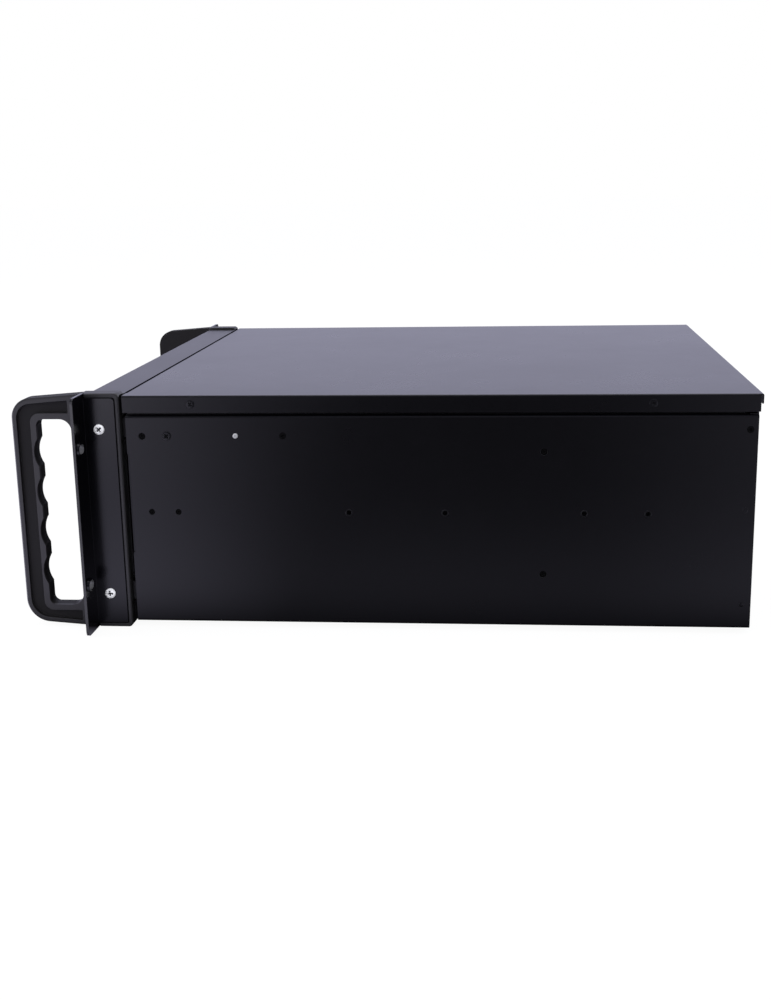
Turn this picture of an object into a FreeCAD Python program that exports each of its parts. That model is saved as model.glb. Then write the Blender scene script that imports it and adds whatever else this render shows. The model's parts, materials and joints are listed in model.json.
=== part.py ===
import FreeCAD, Part
import math
import os

Vector = FreeCAD.Vector

# A four-unit 19 inch rack server. All sizes are millimetres.
# x runs to the right as seen from the front, y runs to the rear from the front face of the rack ears,
# and z runs up from the surface that the feet stand on.

# Sheet thicknesses and clearances
SHEET = 1.2
COVER_SHEET = 1.0
CAGE_SHEET = 1.0
EAR_SHEET = 2.0
FIT = 0.3
HOLE_FIT = 0.1

# What the case holds, which sets its width, depth and height
BOARD_WIDTH = 305.0
BOARD_DEPTH = 244.0
PSU_WIDTH = 86.0
PSU_DEPTH = 140.0
PSU_HEIGHT = 150.0
HDD_WIDTH = 101.6
HDD_LENGTH = 147.0
HDD_HEIGHT = 26.1
FAN_DEPTH = 25.0
LARGE_FAN = 120.0
SMALL_FAN = 80.0
BAY_WIDTH = 149.0
BAY_HEIGHT = 43.2
BAY_COUNT = 3

# Width: board and power supply side by side between the walls
BOARD_WALL_GAP = 8.3
BOARD_PSU_GAP = 19.3
PSU_WALL_GAP = 7.0
WALL_X = (BOARD_WALL_GAP + BOARD_WIDTH + BOARD_PSU_GAP + PSU_WIDTH + PSU_WALL_GAP) / 2
BODY_X = WALL_X + SHEET
BOARD_X0 = BOARD_WALL_GAP - WALL_X
BOARD_X1 = BOARD_X0 + BOARD_WIDTH
PSU_X1 = WALL_X - PSU_WALL_GAP
PSU_X0 = PSU_X1 - PSU_WIDTH

# Depth: front plate, fan, hard drives and board one behind the other
TRAY_FRONT = 31.3
FAN_CAGE_GAP = 4.2
CABLE_GAP = 25.9
BOARD_REAR_GAP = 0.8
WALL_OVERHANG = 1.0
COVER_OVERHANG = 1.5
FAN_Y = TRAY_FRONT + SHEET + FIT
HDD_Y0 = FAN_Y + FAN_DEPTH + FAN_CAGE_GAP
HDD_Y1 = HDD_Y0 + HDD_LENGTH
BOARD_Y0 = HDD_Y1 + CABLE_GAP
BOARD_Y1 = BOARD_Y0 + BOARD_DEPTH
REAR_INNER = BOARD_Y1 + BOARD_REAR_GAP
REAR_OUTER = REAR_INNER + SHEET
TRAY_REAR = REAR_OUTER + WALL_OVERHANG
COVER_REAR = TRAY_REAR + COVER_OVERHANG + COVER_SHEET

# Height: power supply on the floor and head room over it, which gives a panel of four units less 0.8
FOOT_HEIGHT = 4.5
HEAD_ROOM = 17.3
PANEL_BOTTOM = 0.5
COVER_DROP = 2.0
FLOOR_Z = FOOT_HEIGHT + SHEET
LEDGE_Z = FLOOR_Z + PSU_HEIGHT + HEAD_ROOM
TRAY_TOP = LEDGE_Z + SHEET
COVER_UNDER = TRAY_TOP + FIT
COVER_TOP = COVER_UNDER + COVER_SHEET
PANEL_TOP = COVER_TOP + COVER_DROP
MID_Z = (PANEL_BOTTOM + PANEL_TOP) / 2

# Base tray
TRAY_BEND = 1.8
LEDGE_WIDTH = 12.0
NOTCH_DEPTH = 1.2
NOTCH_LOW = 31.0
NOTCH_HIGH = 43.0

# Holes in the side walls: places along y and heights over the middle
RAIL_HOLE_Y = (193.4, 263.2, 362.6, 407.6)
RAIL_HOLE_R = 1.75
PLATE_HOLE_Y = (47.3, 67.3)
PLATE_HOLE_R = 2.15
BRACKET_HOLE_Y = 333.7
BRACKET_HOLE_RISE = 45.3
BRACKET_HOLE_R = 2.45
CAGE_HOLE_Y = 43.2
CAGE_HOLE_R = 2.45
CAGE_ROW_DROP = 9.2

# Top cover
COVER_FRONT = 30.0
COVER_BEND = 1.2
SKIRT_HEIGHT = 12.5
SKIRT_REAR_STEP = 1.8
LIP_HEIGHT = 7.0
LIP_INSET = 0.6

# Under the skirt the tray's walls step in, which leaves a dark shut line below it
STEP_IN = 6.0
SHUT_GAP = 2.3
STEP_Z = COVER_TOP - SKIRT_HEIGHT - SHUT_GAP
UPPER_X = WALL_X - STEP_IN

# Feet
FOOT_HALF = 10.0
FOOT_TAPER = 1.5
FOOT_SIDE_INSET = 34.0
FOOT_FRONT_INSET = 30.0
FOOT_REAR_INSET = 40.0

# Bezel end caps
CAP_PROUD = 3.0
CAP_WIDTH = 14.0
CAP_DEPTH = 28.0
CAP_CORNER = 3.0
CAP_CHAMFER = 0.8
CAP_WALL = 2.0
CAP_FRONT_WALL = 6.0
CAP_POST_HALF = 7.0
CAP_POST_WIDTH = 3.5
CAP_BLOCK_HALF = 9.0
CAP_OUTER_X = BODY_X + CAP_PROUD
CAP_INNER_X = CAP_OUTER_X - CAP_WIDTH
POCKET_X0 = CAP_INNER_X + CAP_WALL
POCKET_X1 = CAP_OUTER_X - EAR_SHEET - CAP_WALL

# Rack ears
EAR_REACH = 24.3
EAR_LEG = 24.6
EAR_LEG_INSET = 3.5
EAR_LEG_CORNER = 2.5
EAR_CORNER = 4.0
EAR_GAP = 0.8
SLOT_SPACING = 101.6
SLOT_LENGTH = 10.5
SLOT_WIDTH = 6.8
SLOT_FROM_EDGE = 8.75
EAR_SCREW_Y = 12.6
EAR_SCREW_RISE = 62.2
PAN_HEAD_R = 3.6
PAN_HEAD_HEIGHT = 2.2
EAR_X = CAP_OUTER_X + EAR_REACH
LEG_LOW = PANEL_BOTTOM + EAR_LEG_INSET
LEG_HIGH = PANEL_TOP - EAR_LEG_INSET

# Handles: closed frames that flare towards the panel
HANDLE_REACH = 52.7
HANDLE_THICK = 12.0
HANDLE_END_INSET = 0.3
HANDLE_FLARE = 4.0
HANDLE_GRIP = 18.3
HANDLE_ROOT = 8.2
HANDLE_CORNER_TOP = 15.0
HANDLE_CORNER_LOW = 18.0
HANDLE_EDGE = 1.2
RIM_OUTER = 3.8
RIM_INNER = 4.4
CHANNEL_DEPTH = 3.0
CHANNEL_END = 10.0
CHANNEL_CORNER = 7.0
WINDOW_TOP_INSET = 18.7
WINDOW_LOW_INSET = 17.0
WINDOW_CORNER = 5.0
WINDOW_ROOT_CORNER = 9.0
SCALLOP_COUNT = 4
SCALLOP_PITCH = 30.0
SCALLOP_CHORD = 20.6
SCALLOP_DEPTH = 3.0
HANDLE_X0 = CAP_OUTER_X - HANDLE_THICK
HANDLE_LOW = PANEL_BOTTOM + HANDLE_END_INSET
HANDLE_HIGH = PANEL_TOP - HANDLE_END_INSET
WINDOW_LOW = PANEL_BOTTOM + WINDOW_LOW_INSET
WINDOW_HIGH = PANEL_TOP - WINDOW_TOP_INSET

# Front bezel
BEZEL_SET_BACK = 0.8
BEZEL_DEPTH = 29.2
BEZEL_BEND = 1.5
BEZEL_BOTTOM = 2.0
BEZEL_CAP_GAP = 0.2
BEZEL_BACK = BEZEL_SET_BACK + SHEET

# Drive door with its hinge pins
DOOR_CAP_GAP = 7.0
DOOR_OVERLAP_RIGHT = 2.0
DOOR_OVERLAP_LEFT = 5.0
DOOR_OVERLAP_Z = 6.0
DOOR_DEPTH = 8.0
DOOR_EDGE = 0.5
DOOR_GAP = 1.0
HINGE_GAP = 2.4
HINGE_INSET = 4.0
PIN_R = 1.5
PIN_REACH = 3.0
CAGE_X1 = CAP_INNER_X - DOOR_CAP_GAP - DOOR_OVERLAP_RIGHT
CAGE_X0 = CAGE_X1 - BAY_WIDTH - 2 * CAGE_SHEET
CAGE_HALF = BAY_COUNT * BAY_HEIGHT / 2 + CAGE_SHEET
DOOR_X0 = CAGE_X0 - DOOR_OVERLAP_LEFT
DOOR_X1 = CAGE_X1 + DOOR_OVERLAP_RIGHT
DOOR_LOW = MID_Z - CAGE_HALF - DOOR_OVERLAP_Z
DOOR_HIGH = MID_Z + CAGE_HALF + DOOR_OVERLAP_Z
HINGE_X = DOOR_X0 + HINGE_INSET
HINGE_Y = DOOR_DEPTH / 2

# Door lock
LOCK_INSET = 12.0
LOCK_PROUD = 2.0
LOCK_HALF = 8.5
LOCK_EDGE = 1.0
LOCK_PLUG_R = 5.5
LOCK_LENGTH = 13.2
KEYWAY_WIDTH = 1.6
KEYWAY_HEIGHT = 6.5
KEYWAY_DEPTH = 5.0
CAM_HALF_WIDTH = 4.0
CAM_THICK = 2.0
CAM_TIP_GAP = 1.0
STRIKE_GAP = 0.5
LOCK_X = DOOR_X1 - LOCK_INSET
STRIKE_BACK = LOCK_LENGTH + FIT - STRIKE_GAP

# Filter cover
FILTER_CAP_GAP = 21.0
FILTER_MARGIN_X = 17.0
FILTER_MARGIN_Z = 7.0
FILTER_RIM = 2.0
FILTER_FACE = 2.0
FILTER_INSERT = 7.2
FILTER_WALL = 2.0
LOUVRE_HEIGHT = 5.0
LOUVRE_PITCH = 11.0
LOUVRE_INSET = 9.0
SCREEN_THICK = 1.0
FILTER_WIDTH = LARGE_FAN + 2 * FILTER_MARGIN_X
FILTER_HEIGHT = LARGE_FAN + 2 * FILTER_MARGIN_Z
FILTER_X0 = FILTER_CAP_GAP - CAP_INNER_X
FILTER_X1 = FILTER_X0 + FILTER_WIDTH
FRONT_FAN_X = (FILTER_X0 + FILTER_X1) / 2

# Control column: buttons, lights and ports, with places over the middle
CONTROL_X = (FILTER_X1 + DOOR_X0) / 2
POWER_RISE = 41.0
POWER_HALF_WIDTH = 9.0
POWER_HALF_HEIGHT = 6.0
POWER_PROUD = 2.5
POWER_TRAVEL = 2.5
RESET_RISE = 19.0
RESET_HALF_WIDTH = 5.0
RESET_HALF_HEIGHT = 3.0
RESET_PROUD = 1.2
RESET_TRAVEL = 1.5
BUTTON_GAP = 0.3
BUTTON_FLANGE = 1.5
BUTTON_FLANGE_THICK = 1.5
BUTTON_CROWN = 0.6
STEM_HALF = 1.8
LIGHT_RISE = 3.0
LIGHT_PITCH = 9.0
LIGHT_COUNT = 3
LIGHT_HALF_WIDTH = 2.5
LIGHT_HALF_HEIGHT = 1.5
LIGHT_SET_BACK = 0.4
USB_DROP = (24.0, 40.0)
USB_WIDTH = 13.2
USB_HEIGHT = 6.0
USB_WALL = 0.6
USB_SOCKET_DEPTH = 14.0
USB_TONGUE = 1.8
USB_FIT = 0.4
CONTROL_BOARD_Y = 24.0
CONTROL_BOARD_HALF = 19.0
CONTROL_BOARD_EDGE = 14.0
CONTROL_SPACER_INSET = 5.0
SWITCH_HALF = 3.0
PCB = 1.6

# Front plate
PLATE_FLANGE = 43.0
PLATE_FLANGE_HALF = 30.0

# Drive cage and its covers
CAGE_DEPTH = 149.0
CAGE_FLANGE_DROP = 17.0
CAGE_SLOT_LENGTH = 70.0
CAGE_SLOT_HEIGHT = 6.0
CAGE_SLOT_START = 50.0
BAY_GAP = 0.5
BAY_COVER_FRONT = 27.0
BAY_COVER_DEPTH = 18.0
BAY_COVER_WALL = 1.8
BAY_COVER_EDGE = 0.8

# Hard drives and their cage
HDD_COUNT = 4
HDD_PITCH = 34.0
HDD_FLOOR_GAP = 8.0
HDD_LID_INSET = 5.0
HDD_LID_HEIGHT = 0.8
HDD_CAGE_INSET = 2.0
HDD_CAGE_HEAD = 4.0
HDD_WINDOW_MARGIN = 20.0
HDD_WINDOW_HEIGHT = 12.0

# Support bar over the card space
BAR_GAP = 5.0
BAR_WIDTH = 16.0
BAR_HEIGHT = 12.0

# Main board and what stands on it
STANDOFF_HEIGHT = 8.0
STANDOFF_R = 3.0
STANDOFF_INSET = 10.0
STANDOFF_GRID = 3
BOARD_Z = FLOOR_Z + STANDOFF_HEIGHT
BOARD_TOP = BOARD_Z + PCB
CPU_INSET_X = 90.0
CPU_REAR = 112.0
SOCKET_SIDE = 46.0
SOCKET_HEIGHT = 7.0
SINK_BASE = 6.0
SINK_SIDE = 84.0
SINK_HEIGHT = 62.0
SINK_FIN_PITCH = 6.5
SINK_FIN = 1.8
MEMORY_SOCKETS = 4
MEMORY_PITCH = 10.0
MEMORY_FRONT = 26.0
MEMORY_INSET = 6.0
MEMORY_SOCKET_LENGTH = 141.0
MEMORY_SOCKET_WIDTH = 7.0
MEMORY_SOCKET_HEIGHT = 9.0
MEMORY_LATCH_HEIGHT = 17.0
MEMORY_LATCH_LENGTH = 5.0
MODULE_LENGTH = 130.0
MODULE_THICK = 1.3
MODULE_HEIGHT = 31.0
MODULE_SEAT = 5.0
MODULE_FIT = 0.15
CARD_SOCKET_REAR = 46.0
CARD_SOCKET_WIDTH = 7.5
CARD_SOCKET_HEIGHT = 11.0
CARD_SOCKET_LONG = 89.0
CARD_SOCKET_SHORT = 25.0
CARD_SLIT = 1.8
CARD_SLIT_DEPTH = 7.0
CARD_SLIT_END = 2.0
CHIP_SIDE = 40.0
CHIP_HEIGHT = 14.0
CHIP_BASE = 4.0
CHIP_INSET_X = 92.0
CHIP_FRONT = 40.0
PLUG_LENGTH = 52.0
PLUG_WIDTH = 10.0
PLUG_HEIGHT = 12.0
PLUG_INSET_X = 10.0
PLUG_FRONT = 5.0
PLUG_WALL = 1.4

# Rear ports: offset from the aperture's right edge, width and height of each
PORTS = ((6.0, 15.0, 32.0), (27.0, 17.0, 14.0), (50.0, 15.0, 30.0), (71.0, 16.5, 30.0), (93.5, 31.0, 12.5),
         (130.5, 13.0, 33.0))
PORT_DEPTH = 20.0
PORT_PROUD = 0.8
PORT_WALL = 1.2
PORT_SOCKET_DEPTH = 10.0
IO_WIDTH = 158.75
IO_HEIGHT = 44.45
IO_INSET = 6.0
IO_SILL = 2.5
SHIELD_THICK = 0.8
SHIELD_RIM = 1.5
IO_X1 = BOARD_X1 - IO_INSET
IO_X0 = IO_X1 - IO_WIDTH
IO_Z0 = BOARD_TOP - IO_SILL

# Card slots in the rear panel, as many as have room for their socket on the board
CARD_PITCH = 20.32
CARD_FIRST = 12.0
CARD_EDGE = 1.0
CARD_COUNT = 1 + int((IO_X0 - CARD_FIRST - CARD_SOCKET_WIDTH / 2 - CARD_EDGE - BOARD_X0) / CARD_PITCH)
CARD_OPENING = 13.0
CARD_OPENING_HEIGHT = 98.0
CARD_COVER_WIDTH = 18.4
CARD_COVER_THICK = 0.9
CARD_TAB = 11.0
CARD_LEDGE = 13.0
CARD_LEDGE_GAP = 4.0
CARD_OPEN_Z0 = BOARD_TOP
CARD_LEDGE_Z = CARD_OPEN_Z0 + CARD_OPENING_HEIGHT + CARD_LEDGE_GAP

# Rear panel
REAR_FLANGE = 12.0
VENT_SLOT = 4.5
VENT_PITCH = 8.0
VENT_MARGIN = 4.0
PSU_REVEAL_X = 5.0
PSU_REVEAL_Z = 7.0
REAR_FAN_GAP = 2.0
REAR_FAN_RISE = 10.0
REAR_FAN_MID = ((IO_X0 - CARD_FIRST + CARD_COVER_WIDTH / 2) + PSU_X0) / 2
REAR_FAN_OFFSET = (SMALL_FAN + REAR_FAN_GAP) / 2
REAR_FAN_Z = IO_Z0 + IO_HEIGHT + REAR_FAN_RISE + SMALL_FAN / 2

# Fans
FAN_CORNER = 4.0
FAN_WALL = 2.0
FAN_BACK = 3.0
FAN_STRUT = 4.0
LARGE_HUB = 20.0
SMALL_HUB = 15.0
ROTOR_GAP = 0.3
ROTOR_FRONT = 1.5
BLADE_COUNT = 7
BLADE_TIP_GAP = 3.0
BLADE_SINK = 2.0
BLADE_THICK = 1.6
BLADE_PITCH = 35.0
BLADE_ROOT_CHORD = 17.0
BLADE_TIP_CHORD = 28.0

# Power supply with its inlet module and rocker
PSU_SHEET = 1.0
PSU_FAN_HEAD = 3.0
PSU_FAN_SIDE = 2.0
PSU_FAN_FOOT = 4.0
PSU_VENT_END = 14.0
PSU_VENT_ROWS = 6
MODULE_X_WIDTH = 30.0
INLET_LOW = 11.0
INLET_MODULE_HEIGHT = 50.0
INLET_MODULE_DEPTH = 22.0
INLET_FLANGE = 2.0
INLET_FLANGE_THICK = 1.5
INLET_WIDTH = 24.0
INLET_HEIGHT = 16.4
INLET_CHAMFER = 4.0
INLET_RISE = 12.0
INLET_RECESS = 16.0
INLET_PIN_BACK = 5.5
INLET_PIN_PITCH = 7.0
INLET_PIN_WIDTH = 2.0
INLET_PIN_HEIGHT = 4.0
INLET_PIN_OFFSET = 2.0
ROCKER_RISE = 36.0
ROCKER_WIDTH = 9.0
ROCKER_HALF = 7.0
ROCKER_DEPTH = 6.0
ROCKER_TILT = 9.0
ROCKER_SIDE_GAP = 0.5
ROCKER_POCKET_GAP = 1.2
ROCKER_POCKET_DEPTH = 10.0
ROCKER_PIVOT_BACK = 3.5
TRUNNION_R = 1.5
TRUNNION_REACH = 1.6
PSU_Y0 = REAR_INNER - PSU_DEPTH
PSU_MID_X = (PSU_X0 + PSU_X1) / 2
PSU_TOP = FLOOR_Z + PSU_HEIGHT
INLET_Z0 = FLOOR_Z + INLET_LOW
INLET_TOP = INLET_Z0 + INLET_MODULE_HEIGHT
PSU_FAN = min(PSU_WIDTH - 2 * (PSU_SHEET + PSU_FAN_SIDE),
              PSU_TOP - PSU_SHEET - PSU_FAN_HEAD - PSU_FAN_FOOT - INLET_TOP)
PSU_FAN_Z = PSU_TOP - PSU_SHEET - PSU_FAN_HEAD - PSU_FAN / 2
INLET_FACE = REAR_INNER + INLET_FLANGE_THICK

# Where a cut has to run past the face that it opens
PAST = 1.0

PLANES = {
    "xy": (lambda u, v, w: Vector(u, v, w), Vector(0, 0, 1)),
    "xz": (lambda u, v, w: Vector(u, w, v), Vector(0, 1, 0)),
    "yz": (lambda u, v, w: Vector(w, u, v), Vector(1, 0, 0)),
}


def outline(corners, plane, level):
    """A closed wire through corners (u, v) or (u, v, radius), with round corners as arcs."""
    place = PLANES[plane][0]
    stops = []
    for index, corner in enumerate(corners):
        here = Vector(corner[0], corner[1], 0)
        back = Vector(*corners[index - 1][:2], 0) - here
        ahead = Vector(*corners[(index + 1) % len(corners)][:2], 0) - here
        back.normalize()
        ahead.normalize()
        radius = corner[2] if len(corner) > 2 else 0
        if radius:
            half = back.getAngle(ahead) / 2
            reach = radius / math.tan(half)
            bisector = back + ahead
            bisector.normalize()
            middle = here + bisector * (radius / math.sin(half) - radius)
            stops.append((here + back * reach, middle, here + ahead * reach))
        else:
            stops.append((here, None, here))
    edges = []
    for index, (arrive, middle, leave) in enumerate(stops):
        if middle:
            arc = [place(p.x, p.y, level) for p in (arrive, middle, leave)]
            edges.append(Part.Arc(*arc).toShape())
        target = stops[(index + 1) % len(stops)][0]
        if (target - leave).Length > 1e-6:
            edges.append(Part.makeLine(place(leave.x, leave.y, level), place(target.x, target.y, level)))
    return Part.Wire(edges)


def prism(corners, plane, low, high):
    """Extrude an outline between two levels along its plane's normal."""
    normal = PLANES[plane][1]
    return Part.Face(outline(corners, plane, low)).extrude(normal * (high - low))


def rectangle(u0, u1, v0, v1, radius=0):
    return [(u0, v0, radius), (u1, v0, radius), (u1, v1, radius), (u0, v1, radius)]


def block(x, y, z):
    return Part.makeBox(x[1] - x[0], y[1] - y[0], z[1] - z[0], Vector(x[0], y[0], z[0]))


def rod(radius, plane, u, v, low, high):
    place, normal = PLANES[plane]
    return Part.makeCylinder(radius, high - low, place(u, v, low), normal)


def joined(*shapes):
    return shapes[0].fuse(list(shapes[1:])).removeSplitter()


def group(shapes):
    return Part.makeCompound(list(shapes))


def mirrored(shape):
    return shape.mirror(Vector(0, 0, 0), Vector(1, 0, 0))


def turned(shape, axis, angle, at=Vector(0, 0, 0)):
    copy = shape.copy()
    copy.rotate(at, axis, angle)
    return copy


def moved(shape, x, y, z):
    copy = shape.copy()
    copy.translate(Vector(x, y, z))
    return copy


def edges_on(shape, axis, value):
    """The edges that lie wholly in the plane where one coordinate has this value."""
    found = []
    for edge in shape.Edges:
        box = edge.BoundBox
        low, high = getattr(box, axis + "Min"), getattr(box, axis + "Max")
        if abs(low - value) < 1e-4 and abs(high - value) < 1e-4:
            found.append(edge)
    return found


def spread(count, pitch):
    """Evenly pitched offsets about zero."""
    return [(index - (count - 1) / 2) * pitch for index in range(count)]


def vent(plane, u, v, radius, low, high):
    """Level slots that fill a circle."""
    rows = int((radius - VENT_SLOT / 2) / VENT_PITCH)
    slots = []
    for offset in spread(2 * rows + 1, VENT_PITCH):
        reach = math.sqrt(radius ** 2 - (abs(offset) + VENT_SLOT / 2) ** 2)
        slot = rectangle(u - reach, u + reach, v + offset - VENT_SLOT / 2, v + offset + VENT_SLOT / 2)
        slots.append(prism(slot, plane, low, high))
    return slots


# Case: tray, panels and cover

def wall_holes():
    """Rail holes in both walls; front plate, power supply and drive cage holes in the right one."""
    right = [(y, 0, PLATE_HOLE_R) for y in PLATE_HOLE_Y]
    right += [(BRACKET_HOLE_Y, rise, BRACKET_HOLE_R) for rise in (BRACKET_HOLE_RISE, -BRACKET_HOLE_RISE)]
    right.append((CAGE_HOLE_Y, CAGE_HALF - CAGE_ROW_DROP, CAGE_HOLE_R))
    holes = [rod(r, "yz", y, MID_Z + rise, 0, BODY_X + PAST) for y, rise, r in right]
    return holes + [rod(RAIL_HOLE_R, "yz", y, MID_Z, -BODY_X - PAST, BODY_X + PAST) for y in RAIL_HOLE_Y]


def stepped(half, upper_half, low, step, high, bend=0):
    """Outline between walls that step in at one level."""
    right = [(half, low, bend), (half, step, bend), (upper_half, step), (upper_half, high)]
    return right + [(-corner[0], *corner[1:]) for corner in reversed(right)]


def panel_outline():
    """What fits between the tray's walls, from its floor to its ledges."""
    return stepped(WALL_X - FIT, UPPER_X - FIT, FLOOR_Z, STEP_Z - SHEET - FIT, LEDGE_Z - FIT)


def base_tray():
    outer = stepped(BODY_X, UPPER_X + SHEET, FOOT_HEIGHT, STEP_Z, TRAY_TOP, TRAY_BEND)
    tray = prism(outer, "xz", TRAY_FRONT, TRAY_REAR)
    along = (TRAY_FRONT - PAST, TRAY_REAR + PAST)
    inside = prism(stepped(WALL_X, UPPER_X, FLOOR_Z, STEP_Z - SHEET, LEDGE_Z), "xz", *along)
    mouth = block((LEDGE_WIDTH - UPPER_X, UPPER_X - LEDGE_WIDTH), along, (LEDGE_Z, TRAY_TOP + PAST))
    notch = block((-BODY_X - PAST, BODY_X + PAST), (TRAY_FRONT - PAST, TRAY_FRONT + NOTCH_DEPTH),
                  (MID_Z - NOTCH_LOW, MID_Z + NOTCH_HIGH))
    return tray.cut([inside, mouth, notch] + wall_holes())


def front_plate():
    face_x = WALL_X - FIT
    plate = prism(panel_outline(), "xz", TRAY_FRONT, TRAY_FRONT + SHEET)
    flange = block((face_x - SHEET, face_x), (TRAY_FRONT, TRAY_FRONT + PLATE_FLANGE),
                   (MID_Z - PLATE_FLANGE_HALF, MID_Z + PLATE_FLANGE_HALF))
    through = (TRAY_FRONT - PAST, TRAY_FRONT + SHEET + PAST)
    fan = rod(LARGE_FAN / 2 - FAN_WALL, "xz", FRONT_FAN_X, MID_Z, *through)
    bays = block((CAGE_X0 + CAGE_SHEET, CAGE_X1 - CAGE_SHEET), through,
                 (MID_Z - CAGE_HALF + CAGE_SHEET, MID_Z + CAGE_HALF - CAGE_SHEET))
    return joined(plate, flange, mirrored(flange)).cut([fan, bays])


def card_x(index):
    return IO_X0 - CARD_FIRST - index * CARD_PITCH


def rear_fan_x(side):
    return REAR_FAN_MID + side * REAR_FAN_OFFSET


def rear_panel():
    face_x = WALL_X - FIT
    plate = prism(panel_outline(), "xz", REAR_INNER, REAR_OUTER)
    flange = block((face_x - SHEET, face_x), (REAR_INNER - REAR_FLANGE, REAR_OUTER),
                   (FLOOR_Z, STEP_Z - SHEET - FIT))
    ledge_x = (card_x(CARD_COUNT - 1) - CARD_COVER_WIDTH / 2, card_x(0) + CARD_COVER_WIDTH / 2)
    ledge = block(ledge_x, (REAR_INNER - CARD_LEDGE, REAR_INNER), (CARD_LEDGE_Z, CARD_LEDGE_Z + SHEET))
    panel = joined(plate, flange, mirrored(flange), ledge)
    through = (REAR_INNER - PAST, REAR_OUTER + PAST)
    cuts = [block((PSU_X0 + PSU_REVEAL_X, PSU_X1 - PSU_REVEAL_X), through,
                  (FLOOR_Z + PSU_REVEAL_Z, PSU_TOP - PSU_REVEAL_Z)),
            block((IO_X0, IO_X1), through, (IO_Z0, IO_Z0 + IO_HEIGHT))]
    for index in range(CARD_COUNT):
        x = card_x(index)
        cuts.append(block((x - CARD_OPENING / 2, x + CARD_OPENING / 2), through,
                          (CARD_OPEN_Z0, CARD_OPEN_Z0 + CARD_OPENING_HEIGHT)))
    for side in (-1, 1):
        cuts += vent("xz", rear_fan_x(side), REAR_FAN_Z, SMALL_FAN / 2 - VENT_MARGIN, *through)
    return panel.cut(cuts)


def top_cover():
    inner = BODY_X + FIT
    outer = inner + COVER_SHEET
    low = COVER_TOP - SKIRT_HEIGHT
    profile = [(outer, low), (outer, COVER_TOP, COVER_BEND), (-outer, COVER_TOP, COVER_BEND), (-outer, low),
               (-inner, low), (-inner, COVER_UNDER), (inner, COVER_UNDER), (inner, low)]
    sheet = prism(profile, "xz", COVER_FRONT, COVER_REAR - SKIRT_REAR_STEP)
    lip_x = outer - LIP_INSET
    lip = [(COVER_REAR - SKIRT_REAR_STEP - PAST, COVER_TOP), (COVER_REAR, COVER_TOP, COVER_BEND),
           (COVER_REAR, COVER_TOP - LIP_HEIGHT), (COVER_REAR - COVER_SHEET, COVER_TOP - LIP_HEIGHT),
           (COVER_REAR - COVER_SHEET, COVER_UNDER), (COVER_REAR - SKIRT_REAR_STEP - PAST, COVER_UNDER)]
    return joined(sheet, prism(lip, "yz", -lip_x, lip_x))


def rubber_feet():
    foot = block((-FOOT_HALF, FOOT_HALF), (-FOOT_HALF, FOOT_HALF), (0, FOOT_HEIGHT))
    foot = foot.makeChamfer(FOOT_TAPER, edges_on(foot, "Z", 0))
    return group(moved(foot, side * (BODY_X - FOOT_SIDE_INSET), y, 0)
                 for side in (-1, 1) for y in (TRAY_FRONT + FOOT_FRONT_INSET, TRAY_REAR - FOOT_REAR_INSET))


# Rack ears, end caps and handles

def leg_outline(gap):
    """The ear's side leg seen from the side, grown by a gap."""
    rear = EAR_LEG + gap
    return [(-PAST if gap else 0, LEG_LOW - gap), (rear, LEG_LOW - gap),
            (rear, LEG_HIGH + gap, EAR_LEG_CORNER), (-PAST if gap else 0, LEG_HIGH + gap)]


def ear_screw_heights():
    return (MID_Z - EAR_SCREW_RISE, MID_Z + EAR_SCREW_RISE)


def rack_ear():
    inner = CAP_OUTER_X - EAR_SHEET
    flange = prism([(inner, PANEL_BOTTOM), (EAR_X, PANEL_BOTTOM, EAR_CORNER), (EAR_X, PANEL_TOP, EAR_CORNER),
                    (inner, PANEL_TOP)], "xz", 0, EAR_SHEET)
    leg = prism(leg_outline(0), "yz", inner, CAP_OUTER_X)
    centre = EAR_X - SLOT_FROM_EDGE
    half = SLOT_LENGTH / 2
    cuts = []
    for rise in (-SLOT_SPACING / 2, SLOT_SPACING / 2):
        z = MID_Z + rise
        oval = rectangle(centre - half, centre + half, z - SLOT_WIDTH / 2, z + SLOT_WIDTH / 2, SLOT_WIDTH / 2)
        cuts.append(prism(oval, "xz", -PAST, EAR_SHEET + PAST))
    return joined(flange, leg).cut(cuts)


def ear_screws():
    right = [rod(PAN_HEAD_R, "yz", EAR_SCREW_Y, z, CAP_OUTER_X, CAP_OUTER_X + PAN_HEAD_HEIGHT)
             for z in ear_screw_heights()]
    return group(right + [mirrored(one) for one in right])


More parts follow.
